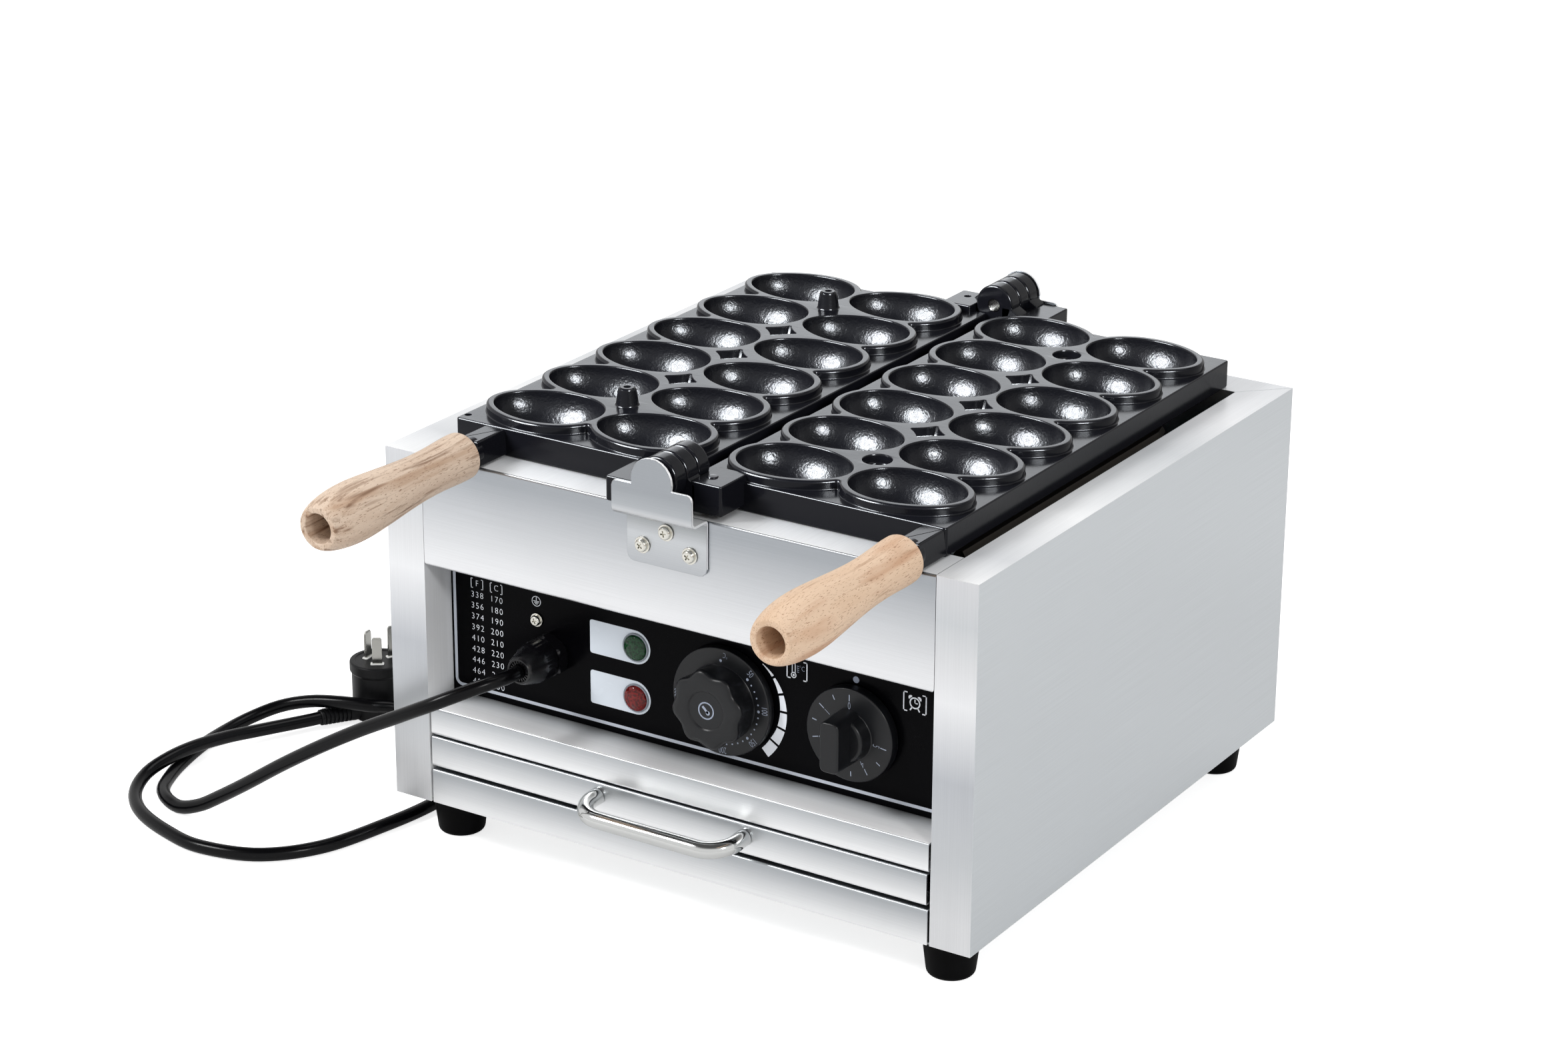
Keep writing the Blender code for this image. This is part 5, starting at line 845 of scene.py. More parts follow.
    x = look["bossLeft"] if side < 0 else look["bossRight"]
    half = look["bossHalf"]
    block = box2d(x - half, x + half, -4, 26, 1.8, 4)
    loops = []
    for height, inset in [(223.8 + d, i) for i, d in quarter(1.0)] + [(239.05 - d, i + 1.0) for i,
                                                                      d in reversed(quarter(1.3))]:
        loops.append([(px, py, height) for px, py in offsetLoop(block, -inset)])
    addLoft(shape, loops)
    addTurned(shape, filleted([(4.2, 0), (8.7, 0, 0.9), (8.7, 6, 0.9), (4.2, 6)], 3),
              facing(x, 2.1, 231.5, "front"), 48,
              closed=True)
    piece = makePiece(name, shape, coating, body, (node,), smooth=32, weld=0.002)
    piece.data.materials.append(cavityCoating)
    a, b = look["eggLength"] / 2, look["eggWidth"] / 2
    for face in piece.data.polygons:          # the cavities' own finish
        place = (face.center - at(0, 0, top)) * metre
        for x, y in centres if face.normal.z > 0.02 and place.z < -look["lip"] else ():
            along = (place.x * side - x) / a
            across = (place.y - y) / (b * (1 - look["blunt"] * along))
            if along * along + across * across < 1:
                face.material_index = 1
    return piece


makePlate("cast_plate_left", "plate_left", "left_plate", -1)
makePlate("cast_plate_right", "plate_right", "right_plate", 1)
print("plates cast")


def alongHandle(x):                           # a frame at the boss face whose Z runs out along the handle
    return Matrix.Translation((x, -4, 231.5)) @ Matrix.Rotation(math.radians(1.4), 4, "X") @ facing(0, 0, 0)


def hexRadius(half, angle):
    return half * math.cos(math.pi / 6) / math.cos((angle + math.pi / 6) % (math.pi / 3) - math.pi / 6)


def addHexNut(shape, half, low, high, bore, matrix, chamfer=0.9, count=72):   # chamfered at both ends
    loops = []
    for height, cap in ((low, half * 0.9), (low + chamfer, half), (high - chamfer, half), (high, half * 0.9)):
        ring = []
        for i in range(count):
            angle = 2 * math.pi * i / count
            radius = min(hexRadius(half, angle), cap)
            ring.append((radius * math.cos(angle), radius * math.sin(angle), height))
        loops.append(ring)
    inner = [[(bore * math.cos(2 * math.pi * i / count), bore * math.sin(2 * math.pi * i / count), height)
              for i in range(count)] for height in (high, low)]
    addLoft(shape, loops + inner, matrix, closed=True)


# Turned grips: radii along the length, in mm from the nut
gripLook = {"length": 130.0, "start": 5.2, "bore": 8.8, "boreDepth": 56.0, "bolt": 4.4, "nut": 9.2,
            "curve": ((14.1, 0.5), (14.2, 4), (14.1, 9), (13.75, 17), (13.42, 26), (13.4, 36), (13.7, 46),
                      (14.5, 58),
                      (15.5, 70), (16.5, 82), (17.2, 92), (17.42, 99), (17.3, 106), (16.75, 113),
                      (15.8, 119.5),
                      (14.5, 125), (13.3, 128.3), (12.7, 129.4))}

for side, x, wood, body in (("left", -137.5, beechLeft, "left_plate"),
                            ("right", 157.0, beechRight, "right_plate")):
    look, start = gripLook, gripLook["start"]
    end, floor = start + look["length"], start + look["length"] - look["boreDepth"]
    outside = smoothLine([(r, start + z) for r, z in look["curve"]], 1.6)
    ring = [(look["bolt"], start), (13.1, start), (13.8, start + 0.25)] + [tuple(p) for p in outside]
    ring += [(12.2, end - 0.15), (11.7, end), (look["bore"] + 0.7, end), (look["bore"] + 0.2, end - 0.25),
             (look["bore"], end - 0.9), (look["bore"], floor + 0.4), (look["bore"] - 0.4, floor),
             (look["bolt"], floor)]
    grip = newShape()
    addTurned(grip, ring, alongHandle(x), 64, closed=True)
    makePiece("beech_grip_" + side, grip, wood, body, ("handle_grip_" + side,), smooth=50)
    nut = newShape()
    addHexNut(nut, look["nut"], 0.3, 4.9, 4.3, alongHandle(x))
    makePiece("locknut_" + side, nut, chrome, body, ("handle_nut_" + side,), smooth=25)
print("handles turned")


def addDisc(shape, x, y, radius, low, high, matrix, count=28):
    addPrism(shape,
             [(x + radius * math.cos(2 * math.pi * i / count), y + radius * math.sin(2 * math.pi * i / count))
                     for i in range(count)], low, high, matrix)


def dialWords(shape, words, radius, degrees, height, matrix, low, high, inward=False, width=0.62):
    turn = math.radians(degrees + (90 if inward else -90))
    place = Matrix.Translation((radius * math.cos(math.radians(degrees)),
                                radius * math.sin(math.radians(degrees)), 0))
    addText(shape, words, height / 0.7,
            matrix @ place @ Matrix.Rotation(turn, 4, "Z") @ Matrix.Diagonal((width, 1, 1, 1)),
            low, high)


def tick(shape, inner, outer, degrees, width, matrix, low, high):
    c, s = math.cos(math.radians(degrees)), math.sin(math.radians(degrees))
    addStroke(shape, [(inner * c, inner * s), (outer * c, outer * s)], width, low, high, matrix)


# Thermostat knob: heights from the panel, in mm
thermostatLook = {"x": 22.4, "z": 105.2, "skirt": 33.0, "face": 6.0, "lobe": 1.25, "lobes": 8, "reach": 22.0,
                  "cap": 12.0, "dish": 0.9, "dots": 25.7, "numbers": 29.6, "numberHeight": 4.1, "dot": 0.62}


def makeThermostatKnob():
    look, shape = thermostatLook, newShape()
    axis = facing(look["x"], 25, look["z"])
    face, high = look["face"], look["reach"]
    skirt = filleted([(3.3, 0.8), (look["skirt"], 0.8, 0.4), (look["skirt"], face, 1.0), (22.0, face),
                      (3.3, face)])
    addTurned(shape, skirt, axis, 96, closed=True)
    loops = []
    for height, radius, lobe in ((face - 0.6, 23.6, 0.0), (face + 0.1, 22.9, 0.0), (face + 1.0, 22.4, 0.1),
                                 (face + 6, 22.6, 0.5),
                                 (high - 5, 22.9, 0.9), (high - 2.6, 22.9, 1.0), (high - 1.5, 22.6, 1.0),
                                 (high - 0.7, 21.8, 0.95), (high - 0.2, 20.5, 0.7), (high, 18.6, 0.3),
                                 (high + 0.1, 15.0, 0.0),
                                 (high, look["cap"] + 0.6, 0.0), (high - 0.3, look["cap"], 0.0),
                                 (high - look["dish"], look["cap"] - 0.6, 0.0)):
        loops.append([((radius + lobe * look["lobe"] * math.cos(look["lobes"] * a)) * math.cos(a + 0.2),
                       (radius + lobe * look["lobe"] * math.cos(look["lobes"] * a)) * math.sin(a + 0.2),
                       height)
                      for a in [2 * math.pi * i / 160 for i in range(160)]])
    addLoft(shape, loops, axis)
    makePiece("thermostat_knob_moulded", shape, blackAbs, "thermostat_dial",
              ("thermostat_knob",), smooth=35)
    ink, low, high = newShape(), face - 0.1, face + 0.06
    dialWords(ink, "°C", look["numbers"], 84, look["numberHeight"] * 0.8, axis, low, high, inward=True)
    for i, number in enumerate((None, 50, 100, 150, 200, 250, 300)):
        if number:
            dialWords(ink, str(number), look["numbers"], 92.5 - 45 * i, look["numberHeight"], axis, low, high)
    for i in range(0, 31):
        big = i % 5 == 0
        if 0 < i < 5:
            continue
        angle = math.radians(90 - 9 * i)
        addDisc(ink, look["dots"] * math.cos(angle), look["dots"] * math.sin(angle),
                look["dot"] * (1.4 if big else 0.85),
                low, high, axis, 14)
    top = look["reach"] - look["dish"]
    addBand(ink, 4.55, 5.35, 0, 360, top - 0.1, top + 0.08, axis)
    icon = axis @ Matrix.Rotation(math.radians(45), 4, "Z")
    addDisc(ink, 0, -1.7, 1.35, top - 0.1, top + 0.08, icon)
    addStroke(ink, [(0, -1.2), (0, 2.6)], 1.5, top - 0.1, top + 0.08, icon)
    makePiece("thermostat_knob_print", ink, greyInk, "thermostat_dial", smooth=0, weld=0,
              fix=False)


# Timer knob: a skirt, a round boss and a bar to turn
timerLook = {"x": 109.0, "z": 106.0, "skirt": 28.5, "face": 7.2, "boss": 13.8, "bossHigh": 16.0,
             "barWidth": 12.4,
             "barLength": 30.5, "reach": 29.0, "tickOuter": 24.4, "tickInner": 21.1, "numbers": 17.8,
             "numberHeight": 4.5,
             "step": 52.5, "tickWidth": 0.55}


def makeTimerKnob():
    look, shape = timerLook, newShape()
    axis = facing(look["x"], 25, look["z"])
    face, skirt = look["face"], look["skirt"]
    ring = filleted([(3.3, 0.8), (skirt, 0.8, 0.5), (skirt - 0.3, face, 1.3), (look["boss"] + 0.8, face, 0.8),
                     (look["boss"] - 0.4, look["bossHigh"], 2.2), (3.3, look["bossHigh"])], 5)
    addTurned(shape, ring, axis, 96, closed=True)
    w, l = look["barWidth"] / 2, look["barLength"] / 2
    outline = box2d(-w, w, -l, l, 4.2, 6)
    loops = []
    for height, inset in ((face - 0.5, -0.5), (look["bossHigh"], -0.3), (look["reach"] - 1.2, 0.0),
                          (look["reach"] - 0.75, 0.12),
                          (look["reach"] - 0.35, 0.4), (look["reach"] - 0.1, 0.8), (look["reach"], 1.3)):
        loops.append([(x, y, height) for x, y in offsetLoop(outline, -inset)])
    addLoft(shape, loops, axis)
    makePiece("timer_knob_moulded", shape, blackAbs, "timer_dial", ("timer_knob",),
              smooth=35)
    ink, low, high = newShape(), face - 0.1, face + 0.06
    for i in range(11):
        degrees = 90 + look["step"] * i / 2
        inner = look["tickInner"] + (0 if i % 2 == 0 else 0.9)
        tick(ink, inner, look["tickOuter"], degrees, look["tickWidth"], axis, low, high)
        if i % 2 == 0:
            dialWords(ink, str(i // 2), look["numbers"], degrees, look["numberHeight"], axis, low, high)
    makePiece("timer_knob_print", ink, greyInk, "timer_dial", smooth=0, weld=0, fix=False)


# Print on the panel, in mm: the words beside the lamps and the knobs are left off
panelLook = {
    "frameLeft": -172.0, "frameBottom": 68.5, "frameWidth": 2.0, "frameTop": 152.0, "frameRight": 174.0,
    "fahrenheit": (-154.3, (338, 356, 374, 392, 410, 428, 446, 464, 482)),
    "celsius": (-140.2, range(170, 260, 10)),
    "firstRow": 129.7, "rowStep": 7.0, "headRow": 137.0, "digits": 3.9,
    "gaugeInner": (36.5, 37.2, 37.0, 36.5, 35.8, 34.8), "gaugeOuter": (36.9, 38.9, 40.3, 41.0, 41.2, 41.2),
    "gaugeFirst": 49.0, "gaugeStep": 16.0, "gaugeGap": 2.2,
}


def makePanelPrint():
    look, panel = panelLook, facing(0, 25, 0)
    low, high = -0.05, 0.10
    silver, ink, dim = newShape(), newShape(), newShape()
    left, bottom, width = look["frameLeft"], look["frameBottom"], look["frameWidth"]
    corner = arcPoints(5.0, 180, 270, 8, (left + 5, bottom + 5))
    inner = arcPoints(5.0 - width, 270, 180, 8, (left + 5, bottom + 5))
    addPrism(silver, [(left, look["frameTop"])] + corner + [(look["frameRight"], bottom),
             (look["frameRight"], bottom + width)] + inner + [(left + width, look["frameTop"])], low, high,
             panel)
    makePiece("panel_frame_print", silver, silverInk, "housing", smooth=0, weld=0)

    def words(shape, text, x, z, height, width=0.8, spacing=1.0):
        addText(shape, text, height / 0.7,
                panel @ Matrix.Translation((x, z, 0)) @ Matrix.Diagonal((width, 1, 1, 1)), low, high,
                spacing)

    def brackets(x, z, half, tall, foot, width):
        for way in (-1, 1):
            addStroke(ink,
                      [(x + way * (half - foot), z + tall), (x + way * half, z + tall),
                       (x + way * half, z - tall),
                            (x + way * (half - foot), z - tall)], width, low, high, panel)
    for title, (x, numbers) in (("F", look["fahrenheit"]), ("C", look["celsius"])):
        words(ink, title, x, look["headRow"], look["digits"], 0.9)
        brackets(x, look["headRow"], 4.3, 3.0, 1.0, 0.45)
        for i, number in enumerate(numbers):
            words(ink, str(number), x, look["firstRow"] - look["rowStep"] * i, look["digits"], 0.98, 1.22)
    steps = len(look["gaugeInner"])
    axis = facing(thermostatLook["x"], 25, thermostatLook["z"])
    for i in range(steps):
        first = look["gaugeFirst"] - look["gaugeStep"] * i - look["gaugeGap"] / 2
        last = first - look["gaugeStep"] + look["gaugeGap"]
        ring = []
        for k in range(7):
            t = i + k / 6
            cell = min(int(t), steps - 2)
            mix = min(t - cell, 1.0)
            a = math.radians(first + (last - first) * k / 6)
            out = look["gaugeOuter"][cell] * (1 - mix) + look["gaugeOuter"][cell + 1] * mix
            back = look["gaugeInner"][cell] * (1 - mix) + look["gaugeInner"][cell + 1] * mix
            ring.append(((out * math.cos(a), out * math.sin(a)), (back * math.cos(a), back * math.sin(a))))
        addPrism(ink, [p[0] for p in ring] + [p[1] for p in reversed(ring)], low, high, axis)
    brackets(70.0, 134.0, 6.6, 5.6, 2.0, 0.7)
    brackets(147.2, 132.2, 7.2, 5.6, 2.0, 0.7)
    bulb = (67.8, 130.5)
    addBand(ink, 1.3, 1.85, 0, 360, low, high, panel, centre=bulb)
    addDisc(ink, *bulb, 0.7, low, high, panel)
    for way in (-1, 1):
        addStroke(ink, [(bulb[0] + way, bulb[1] + 1.6), (bulb[0] + way, bulb[1] + 6.4)], 0.5, low, high,
                  panel)
    addBand(ink, 0.75, 1.25, 0, 180, low, high, panel, centre=(bulb[0], bulb[1] + 6.4))
    for k in range(4):
        addStroke(dim, [(bulb[0] + 2.3, bulb[1] + 2.4 + k * 1.2), (bulb[0] + 3.3, bulb[1] + 2.4 + k * 1.2)],
                  0.4, low, high, panel)
    words(dim, "°C", 73.4, 135.4, 3.0)
    clock = (147.2, 132.1)
    addBand(ink, 2.7, 3.5, 0, 360, low, high, panel, centre=clock)
    addStroke(ink, [(clock[0], clock[1] + 1.9), clock, (clock[0] + 1.5, clock[1])], 0.6, low, high, panel)
    for way in (-1, 1):
        addBand(ink, 0, 1.5, 45, 225, low, high,
                panel @ Matrix.Translation((clock[0] + way * 2.7, clock[1] + 2.9, 0))
                @ Matrix.Rotation(math.radians(-90 if way > 0 else 0), 4, "Z"), 8)
        addStroke(ink, [(clock[0] + way * 2.0, clock[1] - 3.0), (clock[0] + way * 2.9, clock[1] - 4.4)], 0.8,
                  low, high, panel)
    addDisc(dim, timerLook["x"], 137.3, 2.0, low, high, panel)
    symbol = (-111.0, 135.5)
    addBand(ink, 2.85, 3.25, 0, 360, low, high, panel, centre=symbol)
    addStroke(ink, [(symbol[0], symbol[1] + 2.3), (symbol[0], symbol[1])], 0.45, low, high, panel)
    for k, half in enumerate((1.9, 1.25, 0.6)):
        addStroke(ink, [(symbol[0] - half, symbol[1] - 0.85 * k), (symbol[0] + half, symbol[1] - 0.85 * k)],
                  0.45, low, high, panel)
    makePiece("panel_print_white", ink, whiteInk, "housing", smooth=0, weld=0, fix=False)
    makePiece("panel_print_grey", dim, greyInk, "housing", smooth=0, weld=0, fix=False)


# Lamps on their blank labels
lampLook = {"x": -40.0, "power": 122.6, "heat": 90.8, "radius": 8.0, "rise": 4.2, "labelLeft": -72.5,
            "labelHalf": 10.5}


def makeLamp(name, node, z, glass):
    look = lampLook
    label, half = newShape(), look["labelHalf"]
    middle = look["x"] - 0.5
    outline = (arcPoints(1.6, 180, 270, 4, (look["labelLeft"] + 1.6, z - half + 1.6))
               + arcPoints(half, -90, 90, 24, (middle, z))
               + arcPoints(1.6, 90, 180, 4, (look["labelLeft"] + 1.6, z + half - 1.6)))
    addSlab(label, outline, -0.05, 0.35, 0.1, facing(0, 25, 0), 2)
    makePiece(name + "_label", label, labelFilm, "housing", smooth=40)
    r, rise = look["radius"], look["rise"]
    lamp = newShape()
    dome = [(r, 0.2), (r, 0.9)] + [(r * math.cos(a) ** 0.8, 0.9 + (rise - 0.9) * math.sin(a))
                                   for a in [math.radians(8 * k) for k in range(1, 11)]] + [(0.0, rise)]
    addTurned(lamp, [(0.0, 0.2)] + dome, facing(look["x"], 25, z), 48)
    makePiece(name, lamp, glass, "housing", (node,), smooth=50)
    ring = newShape()
    addTurned(ring, filleted([(r - 0.1, 0.3), (r + 0.9, 0.3), (r + 0.9, 1.3, 0.4), (r - 0.1, 1.3, 0.3)]),
              facing(look["x"], 25, z),
              48, closed=True)
    makePiece(name + "_ring", ring, greyRim, "housing", smooth=40)


# Folded sheets: rounded copies of the CAD pieces, with painted light and shade on the faces that look another way
# Front posts: painted reflection and shade bands up their height.
paintedReflectionPostBands = ((0.0, "#E6E7E9"), (0.08, "#E3E4E6"), (0.245, "#CCCFD2"), (0.46, "#BFC2C7"), (0.67, "#EDEEF0"),
             (0.78, "#DDDEE0"),
             (0.88, "#CED1D4"), (1.0, "#D7D8DB"))
low, high = box("side_panel_right")
paintedReflectionPostSteel = brushedStainless("brushed_stainless_posts_painted_reflection", "Z", "", "", low.z, high.z, bands=paintedReflectionPostBands)
# Top rims: painted highlight bands from front to back, on near-white, mostly diffuse steel.
paintedHighlightRimBands = ((0.0, "#F4F5F6"), (0.10, "#DADCDF"), (0.3, "#F8F9FA"), (0.45, "#E6E8EA"), (0.62, "#D3D6D9"),
            (0.8, "#EDEEF0"),
            (1.0, "#DFE1E4"))
paintedHighlightRimSteel = brushedStainless("brushed_stainless_rims_painted_highlights", "Y", "", "", low.y, high.y, "Y", paintedHighlightRimBands, 0.8)
# Inner cheeks: painted light, near-white and fully diffuse, lighter at the bottom and darker at the top.
paintedLightCheekSteel = brushedStainless("brushed_stainless_cheeks_painted_light", "Z", "#F4F5F6", "#DADCDF", low.z, high.z,
                              scatter=1.0)
low, high = box("sill_rail")
# Sill top: painted reflection of the black panel and shade, near white at the front and darkening to the rear
# where it meets the panel.
paintedShadeSillBands = ((0.0, "#FCFCFD"), (0.45, "#E8EAEC"), (0.75, "#B0B3B6"), (1.0, "#5E6062"))
paintedShadeSillSteel = brushedStainless("brushed_stainless_sill_top_painted_shade", "X", "", "", low.y, high.y, "Y", paintedShadeSillBands, 0.9)
front, up = (0, -1, 0), (0, 0, 1)
softenedCopy("side_left_folded", "side_panel_left", 0.3, sideSteel,
             ((front, paintedReflectionPostSteel), (up, paintedHighlightRimSteel), ((1, 0, 0), paintedLightCheekSteel)))
softenedCopy("side_right_folded", "side_panel_right", 0.3, sideSteel,
             ((front, paintedReflectionPostSteel), (up, paintedHighlightRimSteel), ((-1, 0, 0), paintedLightCheekSteel)))
softenedCopy("rear_folded", "rear_panel", 0.3, sideSteel, ((up, paintedHighlightRimSteel),))
softenedCopy("fascia_folded", "front_fascia", 0.3, paintedShadeFrontSteel["fascia"], ((up, paintedHighlightRimSteel),))
softenedCopy("sill_folded", "sill_rail", 0.3, paintedShadeFrontSteel["sill"], ((up, paintedShadeSillSteel),))
softenedCopy("drawer_front_folded", "drawer_front", 0.3, paintedShadeFrontSteel["drawer"])
softenedCopy("base_rail_folded", "base_rail", 0.3, paintedShadeFrontSteel["base"])
# The bracket faces that look up take the painted highlight.
paintedHighlightEdges = [((math.sin(math.radians(a)), 0, math.cos(math.radians(a))), paintedHighlightEdgeSteel)
            for a in (-60, -30, 0, 30, 60)]
softenedCopy("bracket_front_bent", "hinge_bracket_front", 0.45, paintedShadeBracketSteel, paintedHighlightEdges)
softenedCopy("bracket_rear_bent", "hinge_bracket_rear", 0.45, paintedShadeBracketSteel, paintedHighlightEdges)
print("sheets folded")

makeThermostatKnob()
makeTimerKnob()
makePanelPrint()
makeLamp("lamp_green", "power_lamp", lampLook["power"], greenLens)
makeLamp("lamp_red", "heat_lamp", lampLook["heat"], redLens)
print("knobs, lamps and panel print made")


# Cable gland: hexagon on the panel and the domed nut round the lead
glandLook = {"x": -101.0, "z": 104.5, "hexHalf": 14.0, "hexLength": 8.5, "nutStart": 9.1, "nutLength": 23.5,
             "nutRadius": 12.2, "mouth": 7.8, "flutes": 14}


def makeGland():
    look, hexagon, nut = glandLook, newShape(), newShape()
    axis = facing(look["x"], 25, look["z"])
    addHexNut(hexagon, look["hexHalf"], 0.3, 0.3 + look["hexLength"], 6.0, axis, 1.2)
    addTurned(hexagon, [(5.0, 0.5), (10.4, 0.5), (10.4, 9.0), (5.0, 9.0)], axis, 48, closed=True)
    addTurned(hexagon, [(4.6, -7.2), (9.4, -7.2), (9.4, 0.6), (4.6, 0.6)], axis, 48, closed=True)
    addHexNut(hexagon, look["hexHalf"], -7.3, -2.3, 8.0, axis, 0.9)
    makePiece("gland_hexagon", hexagon, blackNylon, "housing", ("cable_gland",), smooth=25)
    start, big, mouth = look["nutStart"], look["nutRadius"], look["mouth"]
    end = start + look["nutLength"]
    loops = []
    for r, h, flute in ((6.0, start, 0), (big - 0.7, start, 0), (big, start + 0.7, 1), (big, start + 9.0, 1),
                        (big - 0.3, start + 11.0, 0.6), (big - 0.9, start + 12.6, 0),
                        (big - 1.5, start + 15.0, 0),
                        (big - 2.3, start + 17.6, 0), (mouth + 1.2, end - 2.6, 0),
                        (mouth + 0.5, end - 1.0, 0), (mouth, end - 0.2, 0),
                        (mouth - 0.5, end, 0), (mouth - 1.2, end - 0.1, 0), (mouth - 1.5, end - 0.8, 0),
                        (mouth - 1.6, end - 5.0, 0),
                        (4.5, end - 5.2, 0)):
        ring = []
        for i in range(112):
            a = 2 * math.pi * i / 112
            radius = r - flute * 0.35 * max(0, math.cos(look["flutes"] * a)) ** 2
            ring.append((radius * math.cos(a), radius * math.sin(a), h))
        loops.append(ring)
    addLoft(nut, loops, axis, closed=True)
    for i in range(20):                       # rubber teeth of the seal round the lead
        a = 2 * math.pi * i / 20
        addBox(nut, 4.35, 6.5, -0.45, 0.45, end - 5.4, end - 0.9, 0.12,
               matrix=axis @ Matrix.Rotation(a, 4, "Z"))
    makePiece("gland_dome_nut", nut, blackNylon, "housing", ("gland_nut",), smooth=35)


def addScrew(shape, matrix, washer, washerHigh, head, headHigh, recess):
    flat = recess * 1.3
    if washer:
        addTurned(shape,
                  filleted([(1.0, 0.0), (washer, 0.0, 0.15), (washer, washerHigh, 0.25), (1.0, washerHigh)]),
                  matrix, 40,
                  closed=True)
    base = washerHigh if washer else 0.0
    dome = [(head, base), (head, base + 0.35)]
    for k in range(1, 7):
        a = math.radians(12 * k)
        dome.append((flat + (head - flat) * math.cos(a),
                     base + 0.35 + (headHigh - 0.35) * math.sin(a) / math.sin(math.radians(72))))
    addTurnedOpen(shape, [(1.0, base)] + dome + [(flat, base + headHigh)], matrix, 40)
    w, l = recess * 0.24, recess
    cross = []
    for k in range(4):
        turn = Matrix.Rotation(math.pi / 2 * k, 2)
        cross += [tuple(turn @ Vector(p)) for p in ((w, -w), (l, -w), (l, w))]
    outer = [(flat * math.cos(2 * math.pi * i / 40), flat * math.sin(2 * math.pi * i / 40))
             for i in range(40)]
    high = base + headHigh
    flatFill(shape, outer, [cross], high, matrix)
    addLoft(shape,
            [[(x, y, high) for x, y in cross], [(x * 0.8, y * 0.8, high - recess * 0.65) for x, y in cross]],
            matrix,
            capStart=False)


# a turned skin with its first end closed and its last left open
def addTurnedOpen(shape, profile, matrix, sides):
    loops = [[(r * math.cos(2 * math.pi * i / sides), r * math.sin(2 * math.pi * i / sides), h)
              for i in range(sides)]
             for r, h in profile]
    addLoft(shape, loops, matrix, capEnd=False)


bracketScrews = {"left": (-16.0, 200.4), "right": (16.0, 200.4), "top": (0.0, 211.0)}


def makeScrews():
    for place, (x, z) in bracketScrews.items():
        for end, way, y, turn in (("front", "front", -2.4, 12), ("rear", "back", 388.8, 37)):
            screw = newShape()
            addScrew(screw, facing(x, y, z, way, math.radians(turn + x * 3)), 5.0, 0.8, 4.0, 2.3, 1.9)
            makePiece(f"screw_{end}_{place}", screw, screwZinc, "housing",
                      (f"bracket_screw_{end}_{place}",), smooth=35)
    ground = newShape()
    addScrew(ground, facing(-110.5, 24.7, 124.0, "front", math.radians(20)), 4.2, 0.8, 3.3, 2.2, 1.7)
    makePiece("ground_screw_cross", ground, screwZinc, "housing", ("ground_screw",), smooth=35)


makeGland()
makeScrews()
print("gland and screws made")


def addTube(shape, path, radius, sides=24):   # a round rod along a bent path, with softly broken ends
    points = [Vector(p) for p in path]
    along = [(b - a).normalized() for a, b in zip(points, points[1:])]
    along = [along[0]] + [(a + b).normalized() for a, b in zip(along, along[1:])] + [along[-1]]
    up = along[0].orthogonal().normalized()
    loops = []
    for i, (point, way) in enumerate(zip(points, along)):
        up = (up - way * up.dot(way)).normalized()
        side = way.cross(up)
        reach = radius[i] if isinstance(radius, (list, tuple)) else radius
        loops.append([point + (up * math.cos(2 * math.pi * k / sides) + side * math.sin(2 * math.pi * k / sides)) * reach
                      for k in range(sides)])
    addLoft(shape, loops)


# Drawer pull: a bent rod between two screws
pullLook = {"half": 51.0, "z": 35.0, "radius": 5.1, "reach": 29.0, "bend": 17.0, "tilt": 2.0}


def makePull():
    look, shape = pullLook, newShape()
    r, half, bend = look["radius"], look["half"], look["bend"]
    reach = look["reach"] - r
    flat = [(-half, -0.3), (-half, -0.9), (-half, -3), (-half, -5.5)]
    flat += [(x, y) for x, y in arcPoints(bend, 180, 270, 18, (-half + bend, -reach + bend))]
    flat += [(x, -reach) for x in range(-30, 31, 10)]
    flat += [(x, y) for x, y in arcPoints(bend, 270, 360, 18, (half - bend, -reach + bend))]
    flat += [(half, -5.5), (half, -3), (half, -0.9), (half, -0.3)]
    path = [(x, y, look["z"] - look["tilt"] * max(0, -y - r) / (reach - r)) for x, y in flat]
    radii = [r - 0.5, r] + [r] * (len(path) - 4) + [r, r - 0.5]
    addTube(shape, path, radii, 32)
    makePiece("drawer_pull_rod", shape, chrome, "drawer", ("drawer_handle",), smooth=40)
    screws = newShape()
    for x in (-half, half):
        addScrew(screws, facing(x, 1.5, look["z"], "back"), None, 0, 3.8, 2.2, 1.7)
    makePiece("pull_screws", screws, screwZinc, "drawer", smooth=35)


# Rubber feet, each with a screw in its recess
footLook = {"x": 172.3, "front": 27.7, "rear": 358.7, "top": 17.3, "floor": 14.0, "height": 28.1,
            "rounding": 3.5,
            "recess": 7.0, "recessDepth": 12.0}


def makeFoot(name, node, x, y):
    look, shape, screw = footLook, newShape(), newShape()
    high = look["height"]
    ring = filleted([(look["recess"] - 0.02, -high + look["recessDepth"]), (look["recess"], -high, 0.8),
                     (look["floor"], -high, look["rounding"]), (look["top"], -1.5), (look["top"], -0.3, 0.5),
                     (2.2, -0.3),
                     (2.2, -high + look["recessDepth"])], 6)
    addTurned(shape, ring, Matrix.Translation((x, y, 0)), 56, closed=True)
    makePiece(name + "_moulded", shape, footRubber, "housing", (node,), smooth=40)
    addScrew(screw, facing(x, y, -high + look["recessDepth"] - 0.1, "down"), 5.5, 0.9, 4.2, 2.4, 1.9)
    makePiece(name + "_screw", screw, screwZinc, "housing", smooth=35)


makePull()
for side, sign in (("left", -1), ("right", 1)):
    for end in ("front", "rear"):
        makeFoot(f"foot_{end}_{side}_round", f"foot_{end}_{side}", sign * footLook["x"], footLook[end])
print("pull and feet made")

